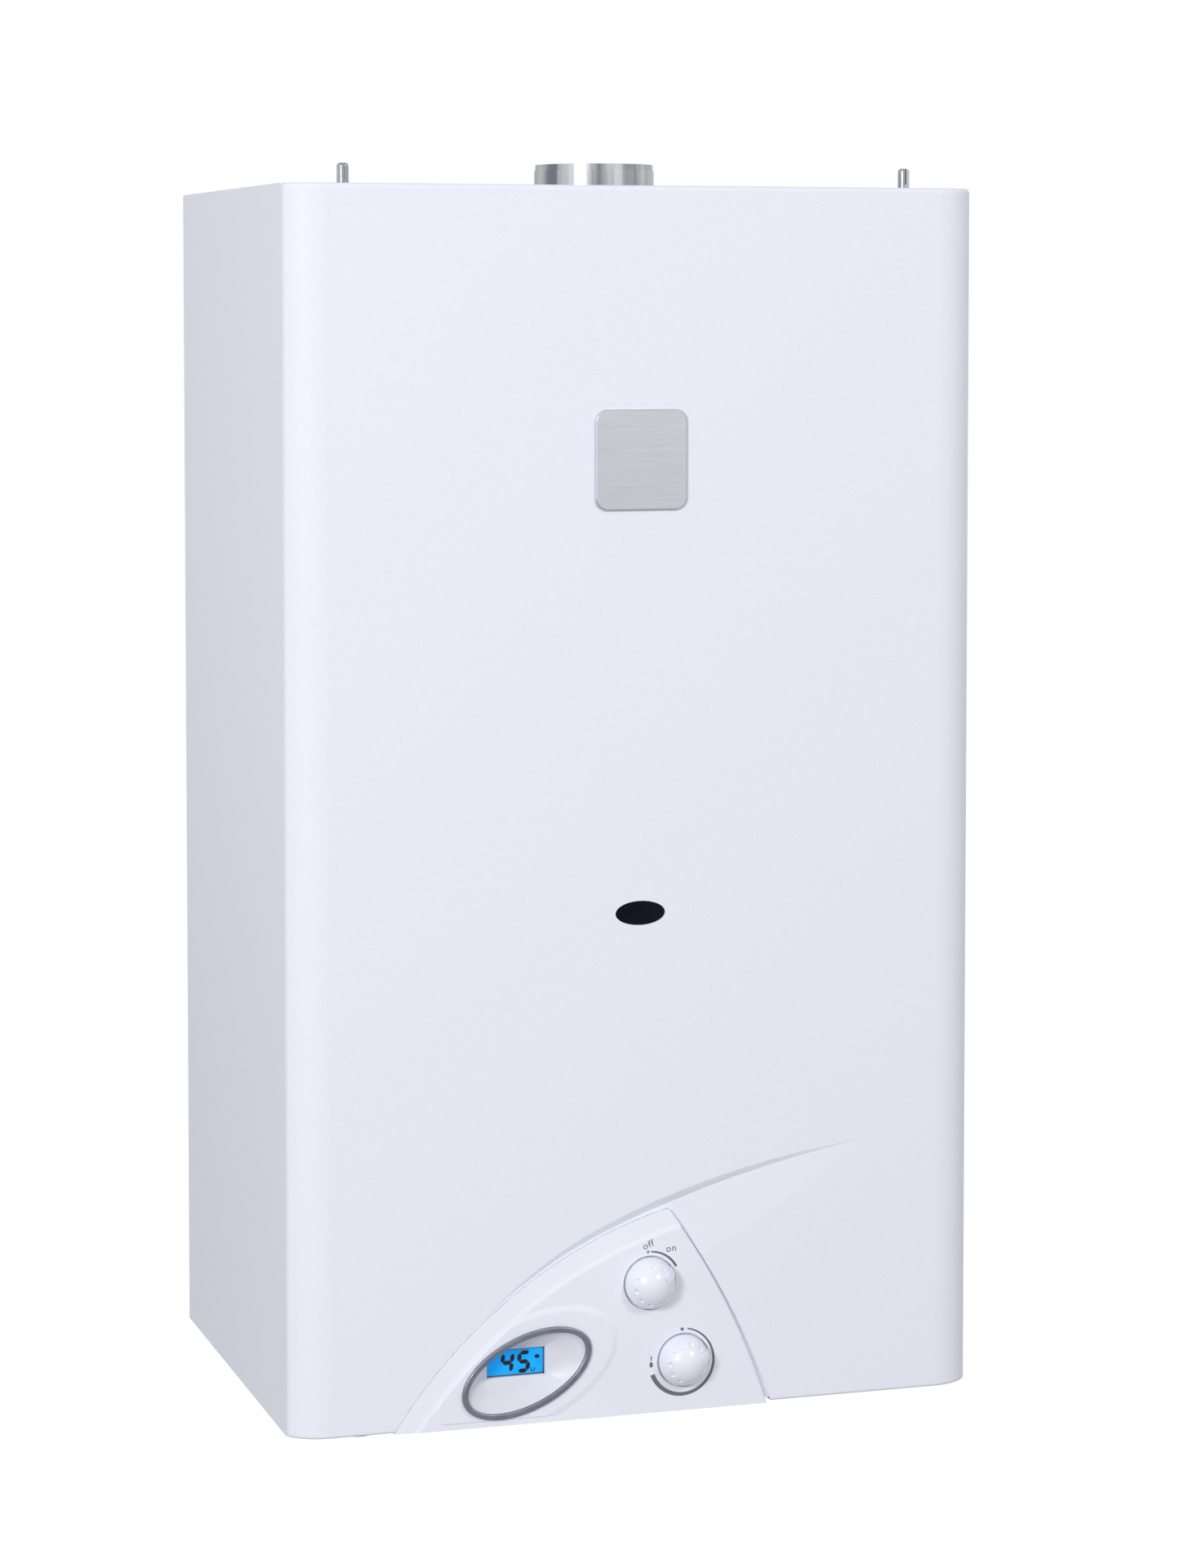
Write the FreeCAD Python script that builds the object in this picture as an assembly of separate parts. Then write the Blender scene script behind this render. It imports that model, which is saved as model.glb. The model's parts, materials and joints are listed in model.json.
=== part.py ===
import FreeCAD, Part
import math
import os

os.makedirs("parts", exist_ok=True)

# A gas water heater that hangs on a wall. Millimetres: the wall is the plane Y = 0, the front faces -Y,
# +X is to the right and +Z is up. Heights are measured from the casing's bottom edge, and save() moves every
# piece so that the origin is the middle of the four wall fixing holes.

# Casing
CASE_WIDTH = 350.0
CASE_HEIGHT = 600.0
CASE_DEPTH = 243.0
SHEET = 1.0
FOLD = 12.0
FOLD_RELIEF = 2.0
FIXING_INSET_X = 55.0
FIXING_INSET_Z = 60.0
FIXING_HOLE_RADIUS = 4.5
RIB_RADIUS = 6.0
RIB_OFFSET = 35.0
RIB_INSET = 90.0
AIR_SLOT_WIDTH = 6.0
AIR_SLOT_LENGTH = 50.0
AIR_SLOT_PITCH = 14.0
AIR_SLOT_COUNT = 15
AIR_SLOT_FROM_WALL = 40.0
HOLE_CLEARANCE = 0.2

# Front cover
COVER_EDGE = 11.5
SEAM = 0.3
EDGE_RADIUS = 24.0
EDGE_ANGLE = 48.0
CORNER_BEND = 4.0
TOP_BEND = 2.5
BOTTOM_BEND = 1.6
TONGUE = 22.0
TONGUE_CLEARANCE = 0.5
PIN_INSET = 31.7
PIN_SETBACK = 18.6
PIN_RADIUS = 2.9
PIN_HEIGHT = 10.0
PIN_SLIT = 0.8
PIN_SLIT_DEPTH = 8.0
PIN_ROUNDING = 1.6
PIN_HEAD_RADIUS = 5.0
PIN_HEAD = 2.0
COVER_SCREW_INSET = 25.0

# Crease pressed into the cover
CREASE_GAP = 1.2
CREASE_RADIUS = 620.0
CREASE_START_ANGLE = 130.0
CREASE_TURN_ANGLE = 112.0
CREASE_END_ANGLE = 99.6
CREASE_DEPTH = 2.4
CREASE_UPPER = 4.0
CREASE_LOWER = 30.0
CREASE_LEAD = 10.0
CREASE_STATIONS = 14

# Sight window and badge
SIGHT_HEIGHT = 246.7
SIGHT_HALF_WIDTH = 12.75
SIGHT_HALF_HEIGHT = 6.0
SIGHT_GLASS = 2.0
SIGHT_LAP = 4.0
SIGHT_FRAME_WALL = 4.0
BADGE_HEIGHT = 467.6
BADGE_WIDTH = 46.5
BADGE_LENGTH = 49.0
BADGE_THICKNESS = 1.8
BADGE_CORNER = 6.0
BADGE_BEVEL = 0.8
BADGE_PEG_RADIUS = 1.5
BADGE_PEG_SPAN = 30.0
BADGE_PEG = 3.0

# Control panel: a level bottom and two arcs, the sweep on its left and the flank on its right, that meet at a peak
PANEL_LEFT = -124.4
PANEL_RIGHT = 65.4
PANEL_PEAK = (14.7, 99.9)
SWEEP_RADIUS = 236.7
FLANK_RADIUS = 361.3
PANEL_PROUD = 1.8
PANEL_BEVEL = 10.4
SWEEP_EDGE = 0.3
SWEEP_BAND = 8.0
SWEEP_BAND_RISE = 1.2
FLANK_BEVEL = 0.6
FLANK_GAP = 2.8
FLANK_HOLLOW = 6.0
PANEL_WALL = 2.5
PANEL_DEPTH = 8.0
PANEL_DROP = 0.3
PANEL_FIT = 0.2
LIP_WIDTH = 4.0
LIP_THICKNESS = 1.5

# Display
DISPLAY_CENTRE = (-58.6, 25.0)
DISPLAY_TILT = 23.0
RING_HALF_LENGTH = 34.6
RING_HALF_HEIGHT = 18.5
RING_WIDTH = 3.0
RING_HEIGHT = 1.6
RING_ROUNDING = 0.7
HUMP_MARGIN_LENGTH = 15.0
HUMP_MARGIN_HEIGHT = 8.5
HUMP_HEIGHT = 0.6
HUMP_SLOPE = 3.0
HUMP_INSET = 10.8
DISH_WALL = 1.2
DISH_DEPTH = 6.5
DISH_FLANGE = 1.5
DISH_FLOOR = 1.5
LCD_LEFT = -76.9
LCD_RIGHT = -47.5
LCD_BOTTOM = 22.0
LCD_TOP = 35.5
LCD_CUT_X = 9.4
LCD_CUT_Z = 6.7
LCD_THICKNESS = 2.5
LCD_LAP = 1.0

# Knobs and their spindles
POWER_X = 4.4
POWER_Z = 64.4
TEMPERATURE_X = 21.8
TEMPERATURE_Z = 24.8
POWER_POINTER = 62.0
TEMPERATURE_POINTER = 75.0
KNOB_RADIUS = 12.7
KNOB_HEIGHT = 11.8
KNOB_SKIRT = 1.0
KNOB_DIMPLES = 11
KNOB_DIMPLE_CIRCLE = 9.3
KNOB_DIMPLE_RADIUS = 1.7
KNOB_DIMPLE_DEPTH = 0.7
KNOB_RIDGE_WIDTH = 3.6
KNOB_RIDGE_RISE = 0.9
KNOB_RIDGE_REACH = 0.4
KNOB_SOCKET = 7.0
KNOB_WELL = 1.6
KNOB_GAP = 0.8
KNOB_LIFT = 0.4
SPINDLE_RADIUS = 3.0
SPINDLE_FLAT = 2.2
SPINDLE_SEAT = 30.0
SPINDLE_BOSS_RADIUS = 8.4
SPINDLE_BOSS_REACH = 42.0
RUNNING_FIT = 0.05

# Flue
FLUE_FROM_WALL = 167.0
FLUE_RADIUS = 30.0
FLUE_WALL = 1.2
FLUE_RISE = 12.0
FLUE_RIM = 3.0
FLUE_RIM_STEP = 0.5
FLUE_SHOULDER = 0.4
FLUE_FLANGE_RADIUS = 46.0
FLUE_FLANGE = 1.5
FLUE_SCREW_CIRCLE = 42.0
GASKET_RADIUS = 38.0
GASKET_THICKNESS = 2.0

# Fan
DUCT_HALF_WIDTH = 23.0
SCROLL_DEPTH = 48.0
SCROLL_RADIUS = 44.0
SCROLL_STEP = 4.0
SCROLL_DROP = 72.0
SCROLL_WALL = 1.2
SCROLL_FLANGE = 2.0
INLET_RADIUS = 28.0
IMPELLER_RADIUS = 38.0
IMPELLER_EYE = 29.0
IMPELLER_GAP = 3.0
IMPELLER_DISC = 1.5
IMPELLER_BLADES = 24
BLADE_THICKNESS = 0.9
BLADE_SWEEP = 14.0
HUB_RADIUS = 9.0
HUB_LENGTH = 16.0
SHAFT_RADIUS = 3.0
SHAFT_FIT = 0.02
MOTOR_RADIUS = 26.0
MOTOR_LENGTH = 24.0
MOTOR_PLATE_RADIUS = 34.0
MOTOR_PLATE = 2.0
MOTOR_CAP_RADIUS = 11.0
MOTOR_CAP = 5.0
MOTOR_SCREW_CIRCLE = 30.0
SHAFT_HOLE_RADIUS = 6.0
TAP_RADIUS = 3.0
TAP_BORE = 1.8
TAP_LENGTH = 9.0
TAP_RISE = 20.0

# Exhaust hood
HOOD_WALL = 1.0
RISER_HALF_WIDTH = 45.0
RISER_DEPTH = 50.0
RISER_DROP = 52.0
RISER_RISE = 45.0

# Heat exchanger
CHAMBER_SIDE_ROOM = 60.0
CHAMBER_LENGTH = 130.0
CHAMBER_FROM_WALL = 45.0
CHAMBER_BOTTOM = 195.0
CHAMBER_HEIGHT = 183.0
CHAMBER_WALL = 1.0
FLANGE_WIDTH = 8.0
FLANGE_THICKNESS = 1.2
FLANGE_SCREW_INSET = 20.0
TUBE_RADIUS = 7.0
TUBE_WALL = 1.0
TUBE_BEND = 20.0
TUBE_FIT = 0.1
TUBE_PITCH = 20.0
TUBE_ROWS = 5
TUBE_BELOW_TOP = 26.0
TUBE_OVERHANG = 6.0
FIN_HEIGHT = 44.0
FIN_THICKNESS = 0.8
FIN_PITCH = 9.0
FIN_MARGIN = 8.0
FIN_GAP = 1.0
COIL_GAP = 4.2
COIL_LOW = 222.0
COIL_HIGH = 290.0
COIL_RISE_OFFSET = 27.0
RISER_FROM_WALL = 82.0
CHAMBER_SIGHT_RADIUS = 9.0
BRACKET_INSET = 40.0
BRACKET_WIDTH = 30.0
BRACKET_HEIGHT = 40.0
BRACKET_Z = 305.0
BRACKET_SHEET = 1.5

# Burner
BURNER_HEIGHT = 45.0
BAR_COUNT = 10
BAR_MARGIN = 10.0
BAR_WIDTH = 12.0
BAR_RISE = 10.0
BAR_LOWER = 8.0
BAR_GAP = 0.2
BAR_SLOTS = 9
BAR_SLOT_WIDTH = 1.4
BAR_SLOT_DEPTH = 5.0
BAR_SLOT_PITCH = 12.0
THROAT_RADIUS = 6.0
THROAT_BORE = 4.8
THROAT_BORE_LENGTH = 30.0
THROAT_RISE = 20.0
THROAT_REACH = 4.0
MANIFOLD_SIZE = 18.0
MANIFOLD_GAP = 11.0
MANIFOLD_INSET = 3.0
MANIFOLD_TAB = 2.0
MANIFOLD_EDGE = 2.0
INJECTOR_FLATS = 8.0
INJECTOR_BASE = 3.0
INJECTOR_TIP_RADIUS = 2.0
INJECTOR_LENGTH = 6.0
FEED_RADIUS = 6.0
FEED_BEND = 12.0
FEED_LEVEL = 140.0
ELECTRODE_SPAN = 52.0
ELECTRODE_RISE = 17.0
INSULATOR_RADIUS = 3.5
INSULATOR_COLLAR = 5.0
INSULATOR_REACH = 20.0
INSULATOR_INNER = 7.0
ELECTRODE_RADIUS = 1.2
ELECTRODE_REACH = 30.0

# Valves: a water section with a diaphragm below, and a gas section above it
VALVE_X = 12.5
VALVE_FROM_WALL = 150.0
WATER_LOW = 10.0
WATER_RADIUS = 22.0
VALVE_FLANGE_RADIUS = 34.0
WATER_FLANGE_LOW = 34.0
WATER_FLANGE = 6.0
DIAPHRAGM = 1.6
COVER_DOME_RADIUS = 21.0
COVER_DOME = 10.4
COVER_CAVITY_RADIUS = 18.0
COVER_CAVITY = 8.4
COVER_NECK_RADIUS = 8.0
COVER_NECK = 16.4
PORT_RADIUS = 10.0
PORT_REACH = 40.0
PORT_SOCKET = 8.0
ROD_RADIUS = 3.0
ROD_PLATE_RADIUS = 16.0
ROD_PLATE = 3.0
ROD_PLATE_GAP = 0.2
CAM_RADIUS = 6.0
CAM_SLOPE = 0.375
CAM_HALF_HEIGHT = 4.0
CAM_Z = 63.5
GAS_LOW = 72.0
GAS_HALF_WIDTH = 28.0
GAS_HEIGHT = 40.0
GAS_CORNER = 6.0
GAS_FLOOR = 6.0
GAS_WELL_RADIUS = 9.0
GAS_WELL = 8.0
GAS_CAVITY_RADIUS = 20.0
GAS_PORT_Z = 94.0
GAS_CAP = 6.0
GAS_CAP_BOSS_RADIUS = 9.0
GAS_CAP_BOSS = 8.0
LEG_X = 18.0
LEG_Y = 20.0
LEG_RADIUS = 4.5
LEG_THREAD = 12.0
DISC_RADIUS = 12.0
DISC_THICKNESS = 4.0
SEAT_GAP = 0.2
SPRING_RADIUS = 7.0
SPRING_WIRE = 0.7
SPRING_TURNS = 5
SPRING_GAP = 0.1
SOLENOID_Z = 99.0
SOLENOID_RADIUS = 13.0
SOLENOID_LENGTH = 34.0
PLUNGER_RADIUS = 4.5
PLUNGER_LENGTH = 29.0
PLUNGER_INSET = 7.0
PLUNGER_TRAVEL = 3.0
SWITCH_LENGTH = 20.0
SWITCH_HALF_DEPTH = 3.5
SWITCH_HEIGHT = 13.0
SWITCH_STANDOFF = 10.0
BUTTON_RADIUS = 1.5
BUTTON_LENGTH = 7.8
BUTTON_GAP = 0.2
BUTTON_BORE = 7.5

# Pipe connectors through the bottom panel
HOT_FROM_SIDE = 55.0
GAS_X = -40.0
COLD_X = 75.0
THREAD_RADIUS = 10.48
CONNECTOR_DROP = 25.0
CONNECTOR_NECK = 10.3
CONNECTOR_HEX = 27.0
CONNECTOR_COLLAR = 6.0
CONNECTOR_SOCKET = 6.0
CONNECTOR_SOCKET_RADIUS = 10.0
CONNECTOR_SEAT = 2.0
NUT_HEX = 30.0
NUT_HEIGHT = 5.0
ELBOW_BEND = 11.0
HOT_PIPE_OFFSET = 35.0
HOT_PIPE_TURN_HIGH = 140.0
HOT_PIPE_TURN_LOW = 90.0

# Electrical pieces
BOX_THICKNESS = 28.0
BOX_LENGTH = 120.0
BOX_HEIGHT = 120.0
BOX_FROM_WALL = 95.0
BOX_LOW = 30.0
BOX_WALL = 2.0
BOX_LID = 2.5
PRESSURE_FROM_SIDE = 70.0
PRESSURE_FOOT_RADIUS = 10.0
PRESSURE_FOOT = 6.0
PRESSURE_RADIUS = 24.0
PRESSURE_BODY = 20.0
PRESSURE_RIM_RADIUS = 27.0
PRESSURE_RIM = 5.0
HOSE_RADIUS = 4.5
HOSE_BEND = 28.0
HOSE_LAP = 6.0

# Small screws
SCREW_RADIUS = 2.0
SCREW_HEAD_RADIUS = 3.6
SCREW_HEAD = 2.4
SCREW_HEAD_TOP = 2.2
SCREW_RECESS = 2.6
SCREW_RECESS_WIDTH = 0.7

# Places worked out from the sizes above
FRONT = -CASE_DEPTH
SIDE_FRONT = FRONT + COVER_EDGE
COVER_REAR = SIDE_FRONT - SEAM
INNER_HALF = CASE_WIDTH / 2 - SHEET
TOP_INNER = CASE_HEIGHT - 2 * SHEET
BOTTOM_INNER = 2 * SHEET
PANEL_FACE = FRONT - PANEL_PROUD
RING_BASE = PANEL_FACE - HUMP_HEIGHT
FLUE_Y = -FLUE_FROM_WALL
SCROLL_TOP = TOP_INNER - FLUE_FLANGE - GASKET_THICKNESS
SCROLL_X = DUCT_HALF_WIDTH - SCROLL_RADIUS - 3 * SCROLL_STEP
SCROLL_Z = SCROLL_TOP - SCROLL_DROP
SCROLL_FRONT = FLUE_Y - SCROLL_DEPTH / 2
SCROLL_BACK = FLUE_Y + SCROLL_DEPTH / 2
FAN_X = SCROLL_X + SCROLL_STEP / 2
FAN_Z = SCROLL_Z + SCROLL_STEP / 2
CHAMBER_WIDTH = CASE_WIDTH - 2 * CHAMBER_SIDE_ROOM
FLANGE_SCREW_X = CHAMBER_WIDTH / 2 - FLANGE_SCREW_INSET
BRACKET_X = CHAMBER_WIDTH / 2 - BRACKET_INSET
CHAMBER_BACK = -CHAMBER_FROM_WALL
CHAMBER_FRONT = CHAMBER_BACK - CHAMBER_LENGTH
CHAMBER_MIDDLE = (CHAMBER_BACK + CHAMBER_FRONT) / 2
CHAMBER_TOP = CHAMBER_BOTTOM + CHAMBER_HEIGHT
BURNER_BOTTOM = CHAMBER_BOTTOM - BURNER_HEIGHT
TUBE_Z = CHAMBER_TOP - TUBE_BELOW_TOP
TUBE_END = CHAMBER_WIDTH / 2 + TUBE_OVERHANG
FIRST_TUBE_Y = CHAMBER_MIDDLE + TUBE_PITCH * (TUBE_ROWS - 1) / 2
LAST_TUBE_Y = CHAMBER_MIDDLE - TUBE_PITCH * (TUBE_ROWS - 1) / 2
COIL_SIDE = CHAMBER_WIDTH / 2 + TUBE_RADIUS + COIL_GAP
COIL_BACK = CHAMBER_BACK + TUBE_RADIUS + COIL_GAP
COIL_FRONT = CHAMBER_FRONT - TUBE_RADIUS - COIL_GAP
COIL_RISE_X = CHAMBER_WIDTH / 2 + COIL_RISE_OFFSET
RISER_Y = -RISER_FROM_WALL
THROAT_Z = BURNER_BOTTOM + THROAT_RISE
BAR_PITCH = (CHAMBER_WIDTH - 2 * BAR_MARGIN) / BAR_COUNT
MANIFOLD_HALF_LENGTH = CHAMBER_WIDTH / 2 - MANIFOLD_INSET
MANIFOLD_BACK = CHAMBER_FRONT - MANIFOLD_GAP
MANIFOLD_LOW = THROAT_Z - MANIFOLD_SIZE / 2
VALVE_Y = -VALVE_FROM_WALL
WATER_FLANGE_TOP = WATER_FLANGE_LOW + WATER_FLANGE
COVER_LOW = WATER_FLANGE_TOP + DIAPHRAGM
COVER_FLANGE_TOP = COVER_LOW + WATER_FLANGE
SEAT_Z = GAS_LOW + GAS_FLOOR + GAS_WELL
DISC_LOW = SEAT_Z + SEAT_GAP
GAS_TOP = GAS_LOW + GAS_HEIGHT
HOT_X = HOT_FROM_SIDE - CASE_WIDTH / 2
SOCKET_SEAT = BOTTOM_INNER + CONNECTOR_COLLAR + CONNECTOR_SEAT
PRESSURE_X = CASE_WIDTH / 2 - PRESSURE_FROM_SIDE
PRESSURE_Z = SCROLL_Z + SCROLL_STEP + TAP_RISE

ALONG_X = FreeCAD.Vector(1, 0, 0)
ALONG_Y = FreeCAD.Vector(0, 1, 0)
ALONG_Z = FreeCAD.Vector(0, 0, 1)


# Helpers
def point(x, y, z):
    return FreeCAD.Vector(x, y, z)


def block(x_range, y_range, z_range):
    """A box between the two values of each range, in either order."""
    low = point(min(x_range), min(y_range), min(z_range))
    high = point(max(x_range), max(y_range), max(z_range))
    return Part.makeBox(high.x - low.x, high.y - low.y, high.z - low.z, low)


def cylinder(radius, start, axis, length):
    return Part.makeCylinder(radius, length, start, axis)


def tube(outer, inner, start, axis, length):
    return cylinder(outer, start, axis, length).cut(cylinder(inner, start, axis, length))


def joined(shapes):
    return shapes[0].fuse(shapes[1:]).removeSplitter()


def prism(wire, direction):
    return Part.Face(wire).extrude(direction)


def line(start, end):
    return Part.LineSegment(start, end).toShape()


def arc(start, middle, end):
    return Part.Arc(start, middle, end).toShape()


def hexagon(across_flats, start, axis, length):
    """A six-sided bar from start along axis."""
    radius = across_flats / math.sqrt(3)
    turn = FreeCAD.Rotation(ALONG_Z, axis)
    corners = []
    for index in range(7):
        angle = math.radians(60 * index)
        corners.append(start + turn.multVec(point(radius * math.cos(angle), radius * math.sin(angle), 0)))
    return prism(Part.makePolygon(corners), axis * length)


def rectangle(x_range, y_range, z):
    corners = [point(x_range[0], y_range[0], z), point(x_range[1], y_range[0], z)]
    corners += [point(x_range[1], y_range[1], z), point(x_range[0], y_range[1], z)]
    return Part.makePolygon(corners + corners[:1])


def screw(seat, axis, length):
    """A screw with a cross recess, whose head sits on seat and whose shank runs along axis."""
    centre = point(0, 0, 0)
    head = Part.makeCone(SCREW_HEAD_RADIUS, SCREW_HEAD_TOP, SCREW_HEAD, centre, ALONG_Z * -1)
    shape = joined([head, cylinder(SCREW_RADIUS, centre, ALONG_Z, length)])
    long = (-SCREW_RECESS / 2, SCREW_RECESS / 2)
    short = (-SCREW_RECESS_WIDTH / 2, SCREW_RECESS_WIDTH / 2)
    deep = (-SCREW_HEAD, -SCREW_HEAD / 2)
    shape = shape.cut([block(long, short, deep), block(short, long, deep)])
    shape.Placement = FreeCAD.Placement(seat, FreeCAD.Rotation(ALONG_Z, axis))
    return shape


def route_wire(points, bend):
    """Straight runs joined by tangent arcs of radius bend."""
    edges = []
    here = points[0]
    for corner, following in zip(points[1:-1], points[2:]):
        back = (here - corner).normalize()
        ahead = (following - corner).normalize()
        half_turn = (math.pi - back.getAngle(ahead)) / 2
        reach = bend * math.tan(half_turn)
        start = corner + back * reach
        end = corner + ahead * reach
        inward = (back + ahead).normalize()
        middle = corner + inward * (bend / math.cos(half_turn) - bend)
        if start.distanceToPoint(here) > 0.001:
            edges.append(line(here, start))
        edges.append(arc(start, middle, end))
        here = end
    if here.distanceToPoint(points[-1]) > 0.001:
        edges.append(line(here, points[-1]))
    return Part.Wire(edges)


def swept(points, bend, radius):
    path = route_wire(points, bend)
    ring = Part.makeCircle(radius, points[0], points[1] - points[0])
    return path.makePipeShell([Part.Wire(ring)], True, False)


def pipe(points, bend, outer, wall):
    """A bent tube along points."""
    return swept(points, bend, outer).cut(swept(points, bend, outer - wall))


def save(name, shapes):
    """Writes one node, a single solid or a group of solids, moved to the part's own origin."""
    group = shapes if isinstance(shapes, list) else [shapes]
    shape = group[0] if len(group) == 1 else Part.makeCompound(group)
    placed = shape.copy()
    placed.translate(point(0, 0, -CASE_HEIGHT / 2))
    placed.exportStep("parts/" + name + ".step")


# Shared outlines of the front
def cover_profile(inset, rear):
    """Plan of the front cover drawn in by inset: a flat front, wide arcs, tight bends and straight sides."""
    angle = math.radians(EDGE_ANGLE)
    reach = EDGE_RADIUS - CORNER_BEND
    bend_x = CASE_WIDTH / 2 - CORNER_BEND
    bend_y = FRONT + EDGE_RADIUS - reach * math.cos(angle)
    arc_x = bend_x - reach * math.sin(angle)
    arc_y = FRONT + EDGE_RADIUS

    def around(side, centre_x, centre_y, radius, turn):
        return point(side * (centre_x + radius * math.sin(turn)), centre_y - radius * math.cos(turn), 0)

    halves = {}
    for side in (-1, 1):
        wide = EDGE_RADIUS - inset
        tight = CORNER_BEND - inset
        halves[side] = [
            around(side, arc_x, arc_y, wide, 0),
            around(side, arc_x, arc_y, wide, angle / 2),
            around(side, arc_x, arc_y, wide, angle),
            around(side, bend_x, bend_y, tight, (angle + math.pi / 2) / 2),
            around(side, bend_x, bend_y, tight, math.pi / 2),
            point(side * (CASE_WIDTH / 2 - inset), rear, 0),
        ]
    left = halves[-1]
    right = halves[1]
    edges = [line(left[0], right[0]), arc(*right[0:3]), arc(*right[2:5]), line(right[4], right[5])]
    edges += [line(right[5], left[5]), line(left[5], left[4])]
    edges += [arc(left[4], left[3], left[2]), arc(left[2], left[1], left[0])]
    return Part.Wire(edges)


def cover_solid(inset, rear, low, high, low_bend, high_bend):
    """The cover's outside or inside as a full block, with its top and bottom edges rounded."""
    profile = cover_profile(inset, rear)
    profile.translate(point(0, 0, low))
    solid = prism(profile, ALONG_Z * (high - low))

    def rim(height):
        found = []
        for edge in solid.Edges:
            ends = [vertex.Point for vertex in edge.Vertexes]
            level = all(abs(end.z - height) < 0.001 for end in ends)
            at_rear = all(abs(end.y - rear) < 0.001 for end in ends)
            if level and not at_rear:
                found.append(edge)
        return found

    top_edges = rim(high)
    bottom_edges = rim(low)
    return solid.makeFillet(high_bend, top_edges).makeFillet(low_bend, bottom_edges)


def on_circle(centre, radius, angle, y):
    return point(centre[0] + radius * math.cos(angle), y, centre[1] + radius * math.sin(angle))


def arc_centre(start, end, radius):
    """The centre, in X and Z, of an arc that turns clockwise from start to end as seen from the front."""
    across = end[0] - start[0]
    upward = end[1] - start[1]
    chord = math.hypot(across, upward)
    reach = math.sqrt(radius**2 - chord**2 / 4)
    middle = ((start[0] + end[0]) / 2, (start[1] + end[1]) / 2)
    return (middle[0] + reach * upward / chord, middle[1] - reach * across / chord)


SWEEP_CENTRE = arc_centre((PANEL_LEFT, -PANEL_DROP), PANEL_PEAK, SWEEP_RADIUS)
FLANK_CENTRE = arc_centre(PANEL_PEAK, (PANEL_RIGHT, -PANEL_DROP), FLANK_RADIUS)
WINDOW_CENTRE = arc_centre(PANEL_PEAK, (PANEL_RIGHT + FLANK_GAP, -PANEL_DROP), FLANK_RADIUS)


def panel_outline(grow, flank_grow, y, bottom, flank_centre=FLANK_CENTRE):
    """The control panel's outline, grown along the sweep and the flank: a level bottom and the two arcs."""
    sweep = SWEEP_RADIUS + grow
    flank = FLANK_RADIUS + flank_grow
    between_x = SWEEP_CENTRE[0] - flank_centre[0]
    between_z = SWEEP_CENTRE[1] - flank_centre[1]
    span = math.hypot(between_x, between_z)
    along = (flank**2 - sweep**2 + span**2) / (2 * span)
    peak_angle = math.atan2(between_z, between_x) + math.acos(along / flank)
    peak = on_circle(flank_centre, flank, peak_angle, y)
    flank_low = math.asin((bottom - flank_centre[1]) / flank)
    sweep_low = math.pi - math.asin((bottom - SWEEP_CENTRE[1]) / sweep)
    sweep_peak = math.atan2(peak.z - SWEEP_CENTRE[1], peak.x - SWEEP_CENTRE[0])
    right = on_circle(flank_centre, flank, flank_low, y)
    left = on_circle(SWEEP_CENTRE, sweep, sweep_low, y)
    flank_middle = on_circle(flank_centre, flank, (flank_low + peak_angle) / 2, y)
    sweep_middle = on_circle(SWEEP_CENTRE, sweep, (sweep_low + sweep_peak) / 2, y)
    return Part.Wire([line(left, right), arc(right, flank_middle, peak), arc(peak, sweep_middle, left)])


def crease_line():
    """Centre, radius and angle at each station: beside the sweep arc, then along a wider arc past the peak."""
    turn = math.radians(CREASE_TURN_ANGLE)
    near_radius = SWEEP_RADIUS + CREASE_GAP
    far_x = SWEEP_CENTRE[0] + (near_radius - CREASE_RADIUS) * math.cos(turn)
    far_z = SWEEP_CENTRE[1] + (near_radius - CREASE_RADIUS) * math.sin(turn)
    near_length = near_radius * (math.radians(CREASE_START_ANGLE) - turn)
    far_length = CREASE_RADIUS * (turn - math.radians(CREASE_END_ANGLE))
    stations = []
    for index in range(CREASE_STATIONS + 1):
        share = index / CREASE_STATIONS
        ahead = share * (near_length + far_length) - near_length
        if ahead < 0:
            stations.append((SWEEP_CENTRE, near_radius, turn - ahead / near_radius, share))
        else:
            stations.append(((far_x, far_z), CREASE_RADIUS, turn - ahead / CREASE_RADIUS, share))
    return stations


def crease(extra):
    """A tapering groove: a rounded upper wall and a long slope below it, enlarged by extra for its back."""
    lead = math.tan(math.radians(CREASE_LEAD))
    sections = []
    for centre, radius, angle, share in crease_line():
        swell = 0.06 + 0.94 * math.sin(share * math.pi)
        upper = CREASE_UPPER * swell
        lower = CREASE_LOWER * swell
        depth = CREASE_DEPTH * swell**1.4
        steep = 2 * math.atan2(depth, upper) - math.radians(CREASE_LEAD)
        proud = 0.1 * depth
        shoulder = upper + extra * math.tan(math.radians(CREASE_LEAD) / 2)
        foot = extra * math.tan(steep / 2)
        bend = math.atan2(depth, upper) - math.radians(CREASE_LEAD)
        sag = math.hypot(shoulder - foot, depth) / 2 * math.tan(bend / 2)
        wall = math.atan2(depth, shoulder - foot)
        middle_across = (shoulder + foot) / 2 + sag * math.sin(wall)
        middle_depth = extra + depth / 2 - sag * math.cos(wall)
        front = [
            on_circle(centre, radius - lower * (1 + (extra + proud) / depth), angle, FRONT - proud),
            on_circle(centre, radius + shoulder + (extra + proud) / lead, angle, FRONT - proud),
        ]
        top = on_circle(centre, radius + shoulder, angle, FRONT + extra)
        middle = on_circle(centre, radius + middle_across, angle, FRONT + middle_depth)
        bottom = on_circle(centre, radius + foot, angle, FRONT + extra + depth)
        edges = [line(front[0], front[1]), line(front[1], top), arc(top, middle, bottom), line(bottom, front[0])]
        sections.append(Part.Wire(edges))
    return Part.makeLoft(sections, True, False)


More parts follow.
